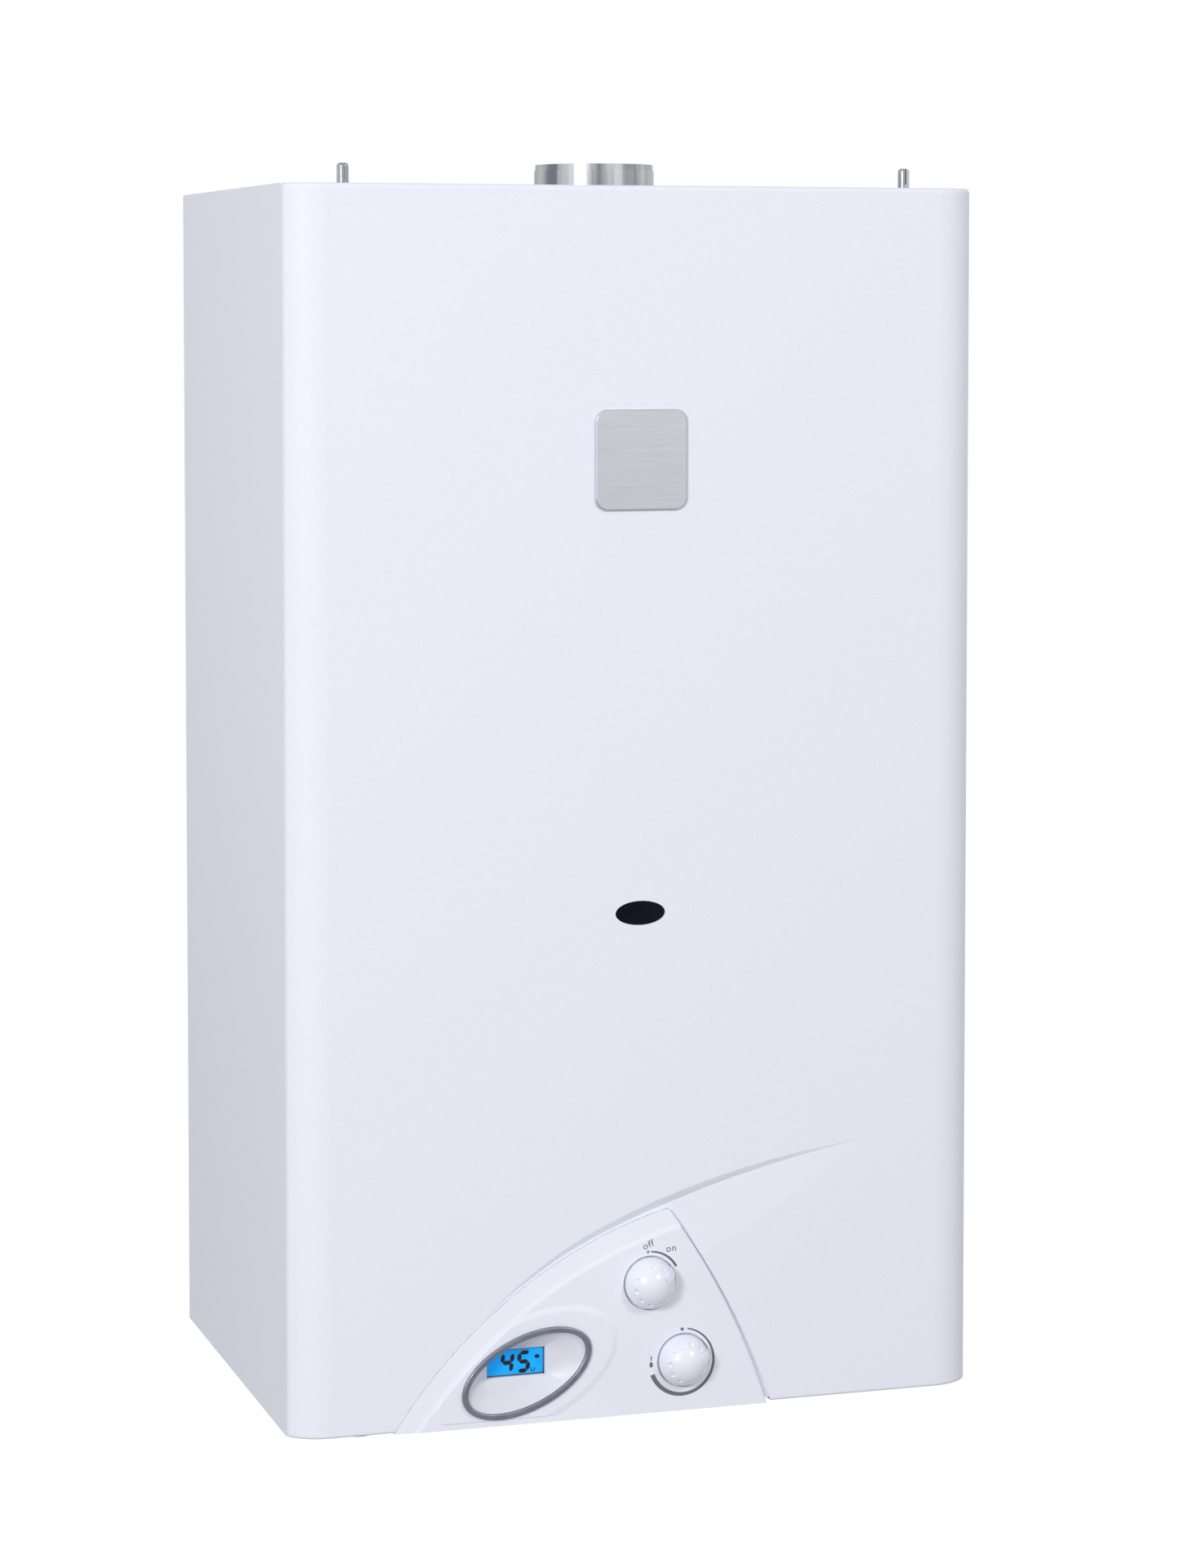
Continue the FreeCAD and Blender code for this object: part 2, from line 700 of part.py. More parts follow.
def ellipse_wire(half_length, half_height, y):
    """The display's tilted ellipse."""
    centre = point(DISPLAY_CENTRE[0], y, DISPLAY_CENTRE[1])
    tilt = math.radians(DISPLAY_TILT)
    major = centre + point(math.cos(tilt), 0, math.sin(tilt)) * half_length
    minor = centre + point(-math.sin(tilt), 0, math.cos(tilt)) * half_height
    return Part.Wire(Part.Ellipse(major, minor, centre).toShape())


def ellipse_plug(half_length, half_height, y_range):
    return prism(ellipse_wire(half_length, half_height, y_range[0]), ALONG_Y * (y_range[1] - y_range[0]))


# Casing
def back_plate():
    low = SHEET
    high = CASE_HEIGHT - SHEET
    pieces = [block((-INNER_HALF, INNER_HALF), (-SHEET, 0), (low, high))]
    fold_low = BOTTOM_INNER + FOLD + FOLD_RELIEF
    fold_high = TOP_INNER - FOLD - FOLD_RELIEF
    for side in (-1, 1):
        across = (side * INNER_HALF, side * (INNER_HALF - SHEET))
        pieces.append(block(across, (-FOLD, 0), (fold_low, fold_high)))

    def rib(x, radius):
        start = point(x, 0, RIB_INSET)
        length = CASE_HEIGHT - 2 * RIB_INSET
        ends = [Part.makeSphere(radius, start), Part.makeSphere(radius, start + ALONG_Z * length)]
        return joined([cylinder(radius, start, ALONG_Z, length)] + ends)

    behind_wall = block((-CASE_WIDTH, CASE_WIDTH), (0, CASE_DEPTH), (0, CASE_HEIGHT))
    cutters = [behind_wall]
    for x in (-RIB_OFFSET, RIB_OFFSET):
        pieces.append(rib(x, RIB_RADIUS + SHEET))
        cutters.append(rib(x, RIB_RADIUS))
    for side in (-1, 1):
        for z in (FIXING_INSET_Z, CASE_HEIGHT - FIXING_INSET_Z):
            start = point(side * (CASE_WIDTH / 2 - FIXING_INSET_X), -FOLD, z)
            cutters.append(cylinder(FIXING_HOLE_RADIUS, start, ALONG_Y, 2 * FOLD))
    return joined(pieces).cut(cutters)


def side_panel(side):
    sheet = block((side * INNER_HALF, side * CASE_WIDTH / 2), (SIDE_FRONT, 0), (0, CASE_HEIGHT))
    fold_across = (side * INNER_HALF, side * (INNER_HALF - FOLD))
    fold = block(fold_across, (SIDE_FRONT, SIDE_FRONT + SHEET), (BOTTOM_INNER, TOP_INNER))
    return joined([sheet, fold])


def level_panel(low, fold_end):
    """The top or bottom sheet with a fold down or up along each side."""
    depth = (SIDE_FRONT + SHEET, -SHEET)
    pieces = [block((-INNER_HALF, INNER_HALF), depth, (low, low + SHEET))]
    for side in (-1, 1):
        across = (side * INNER_HALF, side * (INNER_HALF - SHEET))
        pieces.append(block(across, depth, (low, fold_end)))
    return joined(pieces)


def pin_places():
    x = CASE_WIDTH / 2 - PIN_INSET
    y = FRONT + PIN_SETBACK
    return [point(-x, y, TOP_INNER), point(x, y, TOP_INNER)]


def flue_screw_places():
    places = []
    for index in range(4):
        angle = math.radians(45 + 90 * index)
        x = FLUE_SCREW_CIRCLE * math.cos(angle)
        y = FLUE_Y + FLUE_SCREW_CIRCLE * math.sin(angle)
        places.append(point(x, y, TOP_INNER - FLUE_FLANGE))
    return places


def top_panel():
    panel = level_panel(TOP_INNER, TOP_INNER - FOLD)
    hole = FLUE_RADIUS + FLUE_SHOULDER + HOLE_CLEARANCE
    cutters = [cylinder(hole, point(0, FLUE_Y, TOP_INNER), ALONG_Z, SHEET)]
    for place in pin_places():
        cutters.append(cylinder(PIN_RADIUS + RUNNING_FIT, place, ALONG_Z, SHEET))
    for place in flue_screw_places():
        cutters.append(cylinder(SCREW_RADIUS + RUNNING_FIT, place, ALONG_Z, FOLD))
    return panel.cut(cutters)


def connector_places():
    return [point(HOT_X, LAST_TUBE_Y, 0), point(GAS_X, VALVE_Y, 0), point(COLD_X, VALVE_Y, 0)]


def cover_screw_places():
    x = CASE_WIDTH / 2 - COVER_SCREW_INSET
    y = COVER_REAR + TONGUE / 2
    return [point(-x, y, 0), point(x, y, 0)]


def bottom_panel():
    panel = level_panel(SHEET, BOTTOM_INNER + FOLD)
    cutters = []
    for place in connector_places():
        cutters.append(cylinder(CONNECTOR_NECK + HOLE_CLEARANCE, place, ALONG_Z, FOLD))
    for place in cover_screw_places():
        cutters.append(cylinder(SCREW_RADIUS + RUNNING_FIT, place, ALONG_Z, FOLD))
    for index in range(AIR_SLOT_COUNT):
        x = AIR_SLOT_PITCH * (index - (AIR_SLOT_COUNT - 1) / 2)
        across = (x - AIR_SLOT_WIDTH / 2, x + AIR_SLOT_WIDTH / 2)
        along = (-AIR_SLOT_FROM_WALL - AIR_SLOT_LENGTH, -AIR_SLOT_FROM_WALL)
        cutters.append(block(across, along, (0, FOLD)))
    return panel.cut(cutters)


def front_cover():
    outside = cover_solid(0, COVER_REAR, 0, CASE_HEIGHT, BOTTOM_BEND, TOP_BEND)
    inside_high = CASE_HEIGHT - SHEET
    inside = cover_solid(SHEET, SIDE_FRONT, SHEET, inside_high, BOTTOM_BEND - SHEET, TOP_BEND - SHEET)
    tongue_half = INNER_HALF - TONGUE_CLEARANCE
    pieces = [outside.cut(inside)]
    for low in (0, inside_high):
        depth = (COVER_REAR, COVER_REAR + TONGUE)
        pieces.append(block((-tongue_half, tongue_half), depth, (low, low + SHEET)))
    pieces.append(crease(SHEET).common(block((-CASE_WIDTH, CASE_WIDTH), (FRONT, 0), (SHEET, CASE_HEIGHT))))
    cutters = [crease(0)]
    window = panel_outline(PANEL_FIT, PANEL_FIT, FRONT - COVER_EDGE, -FOLD, WINDOW_CENTRE)
    cutters.append(prism(window, ALONG_Y * (COVER_EDGE + PANEL_DEPTH + PANEL_FIT)))
    cutters.append(sight_plug(0, (FRONT - SHEET, FRONT + FOLD)))
    for place in badge_pegs():
        cutters.append(cylinder(BADGE_PEG_RADIUS + RUNNING_FIT, place, ALONG_Y, SHEET))
    for place in pin_places():
        cutters.append(cylinder(PIN_RADIUS + HOLE_CLEARANCE, place, ALONG_Z, FOLD))
    for place in cover_screw_places():
        cutters.append(cylinder(SCREW_RADIUS + HOLE_CLEARANCE, place, ALONG_Z, SHEET))
    return joined(pieces).cut(cutters)


def cover_pin(place):
    length = 2 * SHEET + PIN_HEIGHT
    shank = cylinder(PIN_RADIUS, place, ALONG_Z, length)
    tip = [edge for edge in shank.Edges if all(abs(v.Point.z - place.z - length) < 0.001 for v in edge.Vertexes)]
    shank = shank.makeFillet(PIN_ROUNDING, tip)
    head = cylinder(PIN_HEAD_RADIUS, place - ALONG_Z * PIN_HEAD, ALONG_Z, PIN_HEAD)
    across = (place.x - PIN_RADIUS, place.x + PIN_RADIUS)
    slit_low = CASE_HEIGHT + PIN_HEIGHT - PIN_SLIT_DEPTH
    along = (place.y - PIN_RADIUS, place.y + PIN_RADIUS)
    slit = block((place.x - PIN_SLIT / 2, place.x + PIN_SLIT / 2), along, (slit_low, slit_low + 2 * PIN_SLIT_DEPTH))
    return joined([head, shank]).cut(slit)


def cover_screws():
    return [screw(place, ALONG_Z, BOTTOM_INNER + SCREW_RADIUS) for place in cover_screw_places()]


def sight_plug(grow, y_range):
    centre = point(0, y_range[0], SIGHT_HEIGHT)
    major = centre + ALONG_X * (SIGHT_HALF_WIDTH + grow)
    minor = centre + ALONG_Z * (SIGHT_HALF_HEIGHT + grow)
    wire = Part.Wire(Part.Ellipse(major, minor, centre).toShape())
    return prism(wire, ALONG_Y * (y_range[1] - y_range[0]))


def sight_window():
    inner_face = FRONT + SHEET
    return sight_plug(SIGHT_LAP, (inner_face, inner_face + SIGHT_GLASS))


def sight_frame():
    inner_face = FRONT + SHEET
    rear = inner_face + SIGHT_GLASS + SIGHT_FRAME_WALL
    frame = sight_plug(SIGHT_LAP + SIGHT_FRAME_WALL, (inner_face, rear))
    pocket = sight_plug(SIGHT_LAP + TUBE_FIT, (inner_face, inner_face + SIGHT_GLASS))
    return frame.cut([pocket, sight_plug(0, (inner_face, rear))])


def badge_pegs():
    return [point(side * BADGE_PEG_SPAN / 2, FRONT, BADGE_HEIGHT) for side in (-1, 1)]


def badge_plate():
    across = (-BADGE_WIDTH / 2, BADGE_WIDTH / 2)
    upright = (BADGE_HEIGHT - BADGE_LENGTH / 2, BADGE_HEIGHT + BADGE_LENGTH / 2)
    plate = block(across, (FRONT - BADGE_THICKNESS, FRONT), upright)
    corners = [edge for edge in plate.Edges if abs(edge.tangentAt(edge.FirstParameter).y) > 0.9]
    plate = plate.makeFillet(BADGE_CORNER, corners)
    front_y = FRONT - BADGE_THICKNESS
    rim = [edge for edge in plate.Edges if all(abs(v.Point.y - front_y) < 0.001 for v in edge.Vertexes)]
    plate = plate.makeChamfer(BADGE_BEVEL, rim)
    pegs = [cylinder(BADGE_PEG_RADIUS, place, ALONG_Y, BADGE_PEG) for place in badge_pegs()]
    return joined([plate] + pegs)


# Control panel and display
def turned_sector(centre, radius, angles, chain):
    """A sector turned about an arc's centre, with a chain of lines and arcs in (inset, rise) as its front."""
    def place(spot):
        return point(centre[0] + radius - spot[0], FRONT - spot[1], centre[1])

    inner = point(centre[0], FRONT + SHEET, centre[1])
    inner_front = point(centre[0], PANEL_FACE, centre[1])
    edges = [line(inner, place(chain[0][0]))]
    for step in chain:
        places = [place(spot) for spot in step]
        edges.append(line(*places) if len(places) == 2 else arc(*places))
    edges += [line(place(chain[-1][-1]), inner_front), line(inner_front, inner)]
    sector = Part.Face(Part.Wire(edges)).revolve(inner, ALONG_Y, angles[1] - angles[0])
    sector.rotate(inner, ALONG_Y, -angles[1])
    return sector


def sweep_side():
    """The panel's front as seen from the sweep: a low edge, a gently rising band and a bevel up to the face."""
    edge = (0, SWEEP_EDGE)
    band = (SWEEP_BAND, SWEEP_BAND_RISE)
    chain = [((0, -SHEET), edge), (edge, band), (band, (PANEL_BEVEL, PANEL_PROUD))]
    return turned_sector(SWEEP_CENTRE, SWEEP_RADIUS, (85, 160), chain)


def flank_side():
    """The panel's front as seen from the flank: an upright wall with a small bevel up to the face."""
    edge = (0, PANEL_PROUD - FLANK_BEVEL)
    face = (FLANK_BEVEL, PANEL_PROUD)
    return turned_sector(FLANK_CENTRE, FLANK_RADIUS, (8, 55), [((0, -SHEET), edge), (edge, face)])


def control_panel():
    base = panel_outline(0, 0, FRONT + SHEET, -PANEL_DROP)
    above = block((-CASE_WIDTH, CASE_WIDTH), (PANEL_FACE - PANEL_PROUD, FRONT + SHEET), (-PANEL_DROP, CASE_HEIGHT))
    raised = sweep_side().common(flank_side()).common(above)
    inner_bottom = PANEL_WALL - PANEL_DROP
    hollow_base = panel_outline(-PANEL_WALL, -PANEL_WALL, FRONT, inner_bottom)
    hollow_face = panel_outline(-PANEL_BEVEL - PANEL_WALL / 2, -FLANK_HOLLOW, PANEL_FACE + PANEL_WALL, inner_bottom)
    lip_face = FRONT + SHEET
    lip_bottom = BOTTOM_BEND + PANEL_FIT
    lip = prism(panel_outline(LIP_WIDTH, LIP_WIDTH, lip_face, lip_bottom, WINDOW_CENTRE), ALONG_Y * LIP_THICKNESS)
    lip = lip.cut(crease(SHEET + PANEL_FIT))
    hump_front = PANEL_FACE - HUMP_HEIGHT
    hump_area = prism(panel_outline(-HUMP_INSET, -HUMP_INSET, hump_front, HUMP_SLOPE), ALONG_Y * PANEL_PROUD)
    hump_low = ellipse_wire(
        RING_HALF_LENGTH + HUMP_MARGIN_LENGTH, RING_HALF_HEIGHT + HUMP_MARGIN_HEIGHT, PANEL_FACE
    )
    hump_high = ellipse_wire(
        RING_HALF_LENGTH + HUMP_MARGIN_LENGTH - HUMP_SLOPE,
        RING_HALF_HEIGHT + HUMP_MARGIN_HEIGHT - HUMP_SLOPE,
        RING_BASE,
    )
    hump = Part.makeLoft([hump_low, hump_high], True, True).common(hump_area)
    body = joined([raised, prism(base, ALONG_Y * (PANEL_DEPTH - SHEET)), lip, hump])
    hollow = Part.makeLoft([hollow_base, hollow_face], True, True)
    cutters = [hollow, prism(hollow_base, ALONG_Y * (PANEL_DEPTH + LIP_THICKNESS))]
    dish_length = RING_HALF_LENGTH - RING_WIDTH + DISH_WALL + HOLE_CLEARANCE
    dish_height = RING_HALF_HEIGHT - RING_WIDTH + DISH_WALL + HOLE_CLEARANCE
    cutters.append(ellipse_plug(dish_length, dish_height, (RING_BASE - HUMP_HEIGHT, FRONT)))
    for x, z in ((POWER_X, POWER_Z), (TEMPERATURE_X, TEMPERATURE_Z)):
        well = point(x, PANEL_FACE - KNOB_WELL, z)
        cutters.append(cylinder(KNOB_RADIUS + KNOB_GAP, well, ALONG_Y, 2 * KNOB_WELL))
        cutters.append(cylinder(SPINDLE_RADIUS + HOLE_CLEARANCE, well, ALONG_Y, KNOB_WELL + 2 * PANEL_WALL))
    return body.cut(cutters)


def display_ring():
    outer = ellipse_plug(RING_HALF_LENGTH, RING_HALF_HEIGHT, (RING_BASE - RING_HEIGHT, RING_BASE))
    inner_length = RING_HALF_LENGTH - RING_WIDTH
    inner_height = RING_HALF_HEIGHT - RING_WIDTH
    ring = outer.cut(ellipse_plug(inner_length, inner_height, (RING_BASE - RING_HEIGHT, RING_BASE)))
    front_y = RING_BASE - RING_HEIGHT
    rims = [edge for edge in ring.Edges if all(abs(v.Point.y - front_y) < 0.001 for v in edge.Vertexes)]
    return ring.makeFillet(RING_ROUNDING, rims)


def window_corners(grow, y):
    """The display window: a rectangle with its upper left corner cut off."""
    return [
        point(LCD_LEFT - grow, y, LCD_TOP - LCD_CUT_Z),
        point(LCD_LEFT - grow, y, LCD_BOTTOM - grow),
        point(LCD_RIGHT + grow, y, LCD_BOTTOM - grow),
        point(LCD_RIGHT + grow, y, LCD_TOP + grow),
        point(LCD_LEFT + LCD_CUT_X, y, LCD_TOP + grow),
    ]


def dish_scoop():
    """The dish's hollow: it narrows from the ring's ellipse to the display window."""
    floor = RING_BASE + DISH_DEPTH
    corners = window_corners(0, floor)
    half_length = RING_HALF_LENGTH - RING_WIDTH
    half_height = RING_HALF_HEIGHT - RING_WIDTH
    tilt = math.radians(DISPLAY_TILT)
    ellipse = ellipse_wire(half_length, half_height, RING_BASE).Edges[0].Curve
    turns = []
    for corner in corners:
        out_x = corner.x - DISPLAY_CENTRE[0]
        out_z = corner.z - DISPLAY_CENTRE[1]
        along = (out_x * math.cos(tilt) + out_z * math.sin(tilt)) / half_length
        across = (out_z * math.cos(tilt) - out_x * math.sin(tilt)) / half_height
        turns.append(math.atan2(across, along) % (2 * math.pi))
    rim = []
    for start, end in zip(turns, turns[1:] + turns[:1]):
        finish = end if end > start else end + 2 * math.pi
        rim.append(Part.ArcOfEllipse(ellipse, start, finish).toShape())
    return Part.makeLoft([Part.Wire(rim), Part.makePolygon(corners + corners[:1])], True, True)


def display_dish():
    half_length = RING_HALF_LENGTH - RING_WIDTH + DISH_WALL
    half_height = RING_HALF_HEIGHT - RING_WIDTH + DISH_WALL
    floor = RING_BASE + DISH_DEPTH
    rear = floor + DISH_FLOOR + LCD_THICKNESS
    flange = PANEL_FACE + PANEL_WALL
    body = ellipse_plug(half_length, half_height, (RING_BASE, rear))
    body = joined([body, ellipse_plug(RING_HALF_LENGTH, RING_HALF_HEIGHT, (flange, flange + DISH_FLANGE))])
    corners = window_corners(0, RING_BASE + DISH_DEPTH / 2)
    window = prism(Part.makePolygon(corners + corners[:1]), ALONG_Y * (DISH_DEPTH + DISH_FLOOR))
    corners = window_corners(LCD_LAP + RUNNING_FIT, floor + DISH_FLOOR)
    pocket = prism(Part.makePolygon(corners + corners[:1]), ALONG_Y * LCD_THICKNESS)
    return body.cut([dish_scoop(), window.common(ellipse_plug(half_length, half_height, (floor, rear))), pocket])


def display_lcd():
    start = RING_BASE + DISH_DEPTH + DISH_FLOOR
    corners = window_corners(LCD_LAP, start)
    return prism(Part.makePolygon(corners + corners[:1]), ALONG_Y * LCD_THICKNESS)


# Knobs and spindles
def spindle_section(x, z, y_range, grow):
    """A round bar with one flat, enlarged by grow."""
    start = point(x, y_range[0], z)
    bar = cylinder(SPINDLE_RADIUS + grow, start, ALONG_Y, y_range[1] - y_range[0])
    flat = SPINDLE_FLAT + grow
    return bar.cut(block((x - 2 * SPINDLE_RADIUS, x + 2 * SPINDLE_RADIUS), y_range, (z + flat, z + 2 * SPINDLE_RADIUS)))


def dome_radius(radius, height):
    """Radius of the sphere that a knob's dome is cut from."""
    rise = height - KNOB_SKIRT
    return (radius**2 + rise**2) / (2 * rise)


def knob_dome(base, radius, height):
    """A low skirt under a spherical dome."""
    top = PANEL_FACE - height
    skirt_y = PANEL_FACE - KNOB_SKIRT
    dome = dome_radius(radius, height)
    half_angle = math.asin(radius / dome) / 2
    middle = point(dome * math.sin(half_angle), top + dome - dome * math.cos(half_angle), 0)
    skirt_top = point(radius, skirt_y, 0)
    crown = point(0, top, 0)
    foot = point(radius, base, 0)
    centre = point(0, base, 0)
    profile = Part.Wire(
        [line(centre, foot), line(foot, skirt_top), arc(skirt_top, middle, crown), line(crown, centre)]
    )
    return Part.Face(profile).revolve(point(0, 0, 0), ALONG_Y, 360)


def knob(x, z, pointer):
    """A domed knob with dimples round it and a pointer ridge, at pointer degrees clockwise from the top."""
    base = PANEL_FACE + KNOB_WELL - KNOB_LIFT
    top = PANEL_FACE - KNOB_HEIGHT
    body = knob_dome(base, KNOB_RADIUS, KNOB_HEIGHT)
    outer = knob_dome(base, KNOB_RADIUS + KNOB_RIDGE_REACH, KNOB_HEIGHT + KNOB_RIDGE_RISE)
    half_ridge = KNOB_RIDGE_WIDTH / 2
    along = (top - KNOB_RIDGE_RISE, PANEL_FACE - KNOB_LIFT)
    ridge = block((-half_ridge, half_ridge), along, (KNOB_RADIUS / 2, 2 * KNOB_RADIUS)).common(outer)
    dome = dome_radius(KNOB_RADIUS, KNOB_HEIGHT)
    stand_off = dome + KNOB_DIMPLE_RADIUS - KNOB_DIMPLE_DEPTH
    tilt = math.asin(KNOB_DIMPLE_CIRCLE / dome)
    dimples = []
    for index in range(1, KNOB_DIMPLES):
        angle = 2 * math.pi * index / KNOB_DIMPLES
        out = stand_off * math.sin(tilt)
        place = point(out * math.sin(angle), top + dome - stand_off * math.cos(tilt), out * math.cos(angle))
        dimples.append(Part.makeSphere(KNOB_DIMPLE_RADIUS, place))
    shape = joined([body.cut(dimples), ridge])
    shape = shape.cut(spindle_section(0, 0, (base - KNOB_SOCKET, base), SHAFT_FIT))
    shape.rotate(point(0, 0, 0), ALONG_Y, pointer)
    shape.translate(point(x, 0, z))
    return shape


def spindle(x, z, pointer, seat):
    """From the knob's socket back into the valve's bore; the flat faces the pointer."""
    base = PANEL_FACE + KNOB_WELL - KNOB_LIFT
    start = base - KNOB_SOCKET
    flatted = spindle_section(0, 0, (start, base), 0)
    rest = cylinder(SPINDLE_RADIUS, point(0, base, 0), ALONG_Y, seat - base)
    shape = joined([flatted, rest])
    shape.rotate(point(0, 0, 0), ALONG_Y, pointer)
    shape.translate(point(x, 0, z))
    return shape


# Flue and fan
def flue_collar():
    base = point(0, FLUE_Y, TOP_INNER)
    spigot_low = CASE_HEIGHT - SHEET
    rim_low = CASE_HEIGHT + FLUE_RISE - FLUE_RIM
    flange_low = base - ALONG_Z * FLUE_FLANGE
    pieces = [cylinder(FLUE_FLANGE_RADIUS, flange_low, ALONG_Z, FLUE_FLANGE)]
    pieces.append(cylinder(FLUE_RADIUS + FLUE_SHOULDER, base, ALONG_Z, SHEET))
    pieces.append(cylinder(FLUE_RADIUS, point(0, FLUE_Y, spigot_low), ALONG_Z, rim_low - spigot_low))
    pieces.append(cylinder(FLUE_RADIUS - FLUE_RIM_STEP, point(0, FLUE_Y, rim_low), ALONG_Z, FLUE_RIM))
    cutters = [cylinder(FLUE_RADIUS - FLUE_WALL, flange_low, ALONG_Z, FLUE_FLANGE + 2 * SHEET + FLUE_RISE)]
    for place in flue_screw_places():
        cutters.append(cylinder(SCREW_RADIUS + HOLE_CLEARANCE, place, ALONG_Z, FLUE_FLANGE))
    return joined(pieces).cut(cutters)


def flue_gasket():
    return tube(GASKET_RADIUS, FLUE_RADIUS - FLUE_WALL, point(0, FLUE_Y, SCROLL_TOP), ALONG_Z, GASKET_THICKNESS)


def flue_screws():
    return [screw(place, ALONG_Z, FLUE_FLANGE + SHEET) for place in flue_screw_places()]


def scroll_outline(grow, y, top):
    """A spiral of three quarter arcs that opens into a straight duct on its right."""
    centres = [(SCROLL_X, SCROLL_Z), (SCROLL_X + SCROLL_STEP, SCROLL_Z)]
    centres.append((SCROLL_X + SCROLL_STEP, SCROLL_Z + SCROLL_STEP))
    tongue_x = -DUCT_HALF_WIDTH - grow
    start_angle = math.acos((tongue_x - SCROLL_X) / (SCROLL_RADIUS + grow))
    turns = [start_angle, math.pi, 1.5 * math.pi, 2 * math.pi]
    edges = []
    for index, centre in enumerate(centres):
        radius = SCROLL_RADIUS + index * SCROLL_STEP + grow
        first = on_circle(centre, radius, turns[index], y)
        middle = on_circle(centre, radius, (turns[index] + turns[index + 1]) / 2, y)
        last = on_circle(centre, radius, turns[index + 1], y)
        edges.append(arc(first, middle, last))
    start = on_circle(centres[0], SCROLL_RADIUS + grow, start_angle, y)
    corners = [last, point(last.x, y, top), point(start.x, y, top), start]
    edges += [line(a, b) for a, b in zip(corners, corners[1:])]
    return Part.Wire(edges)


def motor_screw_places():
    places = []
    for index in range(3):
        angle = math.radians(90 + 120 * index)
        places.append(on_circle((FAN_X, FAN_Z), MOTOR_SCREW_CIRCLE, angle, SCROLL_FRONT - MOTOR_PLATE))
    return places


def fan_scroll():
    outside = prism(scroll_outline(SCROLL_WALL, SCROLL_FRONT, SCROLL_TOP), ALONG_Y * SCROLL_DEPTH)
    flange = cylinder(GASKET_RADIUS, point(0, FLUE_Y, SCROLL_TOP - SCROLL_FLANGE), ALONG_Z, SCROLL_FLANGE)
    tap_start = point(DUCT_HALF_WIDTH, FLUE_Y, PRESSURE_Z)
    tap = cylinder(TAP_RADIUS, tap_start, ALONG_X, SCROLL_WALL + TAP_LENGTH)
    inside = prism(
        scroll_outline(0, SCROLL_FRONT + SCROLL_WALL, SCROLL_TOP + SCROLL_FLANGE),
        ALONG_Y * (SCROLL_DEPTH - 2 * SCROLL_WALL),
    )
    cutters = [inside, cylinder(TAP_BORE, tap_start, ALONG_X, SCROLL_WALL + TAP_LENGTH)]
    cutters.append(cylinder(INLET_RADIUS, point(FAN_X, FLUE_Y, FAN_Z), ALONG_Y, SCROLL_DEPTH))
    cutters.append(cylinder(SHAFT_HOLE_RADIUS, point(FAN_X, FLUE_Y, FAN_Z), ALONG_Y * -1, SCROLL_DEPTH))
    for place in motor_screw_places():
        cutters.append(cylinder(SCREW_RADIUS + RUNNING_FIT, place, ALONG_Y, MOTOR_PLATE + SCROLL_WALL))
    return joined([outside, flange, tap]).cut(cutters)


def fan_impeller():
    """A disc with a hub at the front, curved blades, and a ring round the eye at the back."""
    front = SCROLL_FRONT + SCROLL_WALL + IMPELLER_GAP
    back = SCROLL_BACK - SCROLL_WALL - IMPELLER_GAP
    centre = point(FAN_X, front, FAN_Z)
    disc = cylinder(IMPELLER_RADIUS, centre, ALONG_Y, IMPELLER_DISC)
    hub = cylinder(HUB_RADIUS, centre, ALONG_Y, HUB_LENGTH)
    ring_start = point(FAN_X, back - IMPELLER_DISC, FAN_Z)
    ring = tube(IMPELLER_RADIUS, IMPELLER_EYE, ring_start, ALONG_Y, IMPELLER_DISC)
    sweep = math.radians(BLADE_SWEEP)
    inner = IMPELLER_EYE
    outer = IMPELLER_RADIUS
    half = BLADE_THICKNESS / 2
    blades = []
    for index in range(IMPELLER_BLADES):
        turn = 2 * math.pi * index / IMPELLER_BLADES
        middle_radius = (inner + outer) / 2
        where = (FAN_X, FAN_Z)
        inner_step = half / inner
        outer_step = half / outer
        lead = sweep / 4
        corners = [
            on_circle(where, inner, turn - inner_step, front),
            on_circle(where, middle_radius, turn + lead - half / middle_radius, front),
            on_circle(where, outer, turn + sweep - outer_step, front),
            on_circle(where, outer, turn + sweep + outer_step, front),
            on_circle(where, middle_radius, turn + lead + half / middle_radius, front),
            on_circle(where, inner, turn + inner_step, front),
        ]
        outline = [arc(*corners[0:3]), line(corners[2], corners[3]), arc(*corners[3:6]), line(corners[5], corners[0])]
        blades.append(prism(Part.Wire(outline), ALONG_Y * (back - front)))
    body = joined([disc, hub, ring] + blades)
    return body.cut(cylinder(SHAFT_RADIUS + SHAFT_FIT, centre, ALONG_Y, HUB_LENGTH))


def fan_motor():
    axis = ALONG_Y * -1
    face = point(FAN_X, SCROLL_FRONT, FAN_Z)
    plate = cylinder(MOTOR_PLATE_RADIUS, face, axis, MOTOR_PLATE)
    can = cylinder(MOTOR_RADIUS, face, axis, MOTOR_PLATE + MOTOR_LENGTH)
    cap = cylinder(MOTOR_CAP_RADIUS, face, axis, MOTOR_PLATE + MOTOR_LENGTH + MOTOR_CAP)
    cutters = [cylinder(SHAFT_RADIUS + RUNNING_FIT, face, axis, MOTOR_PLATE + MOTOR_LENGTH + MOTOR_CAP)]
    for place in motor_screw_places():
        cutters.append(cylinder(SCREW_RADIUS + HOLE_CLEARANCE, place, ALONG_Y, MOTOR_PLATE))
        cutters.append(cylinder(SCREW_HEAD_RADIUS + HOLE_CLEARANCE, place, axis, MOTOR_LENGTH))
    return joined([plate, can, cap]).cut(cutters)


def motor_screws():
    return [screw(place, ALONG_Y, MOTOR_PLATE + SCROLL_WALL) for place in motor_screw_places()]


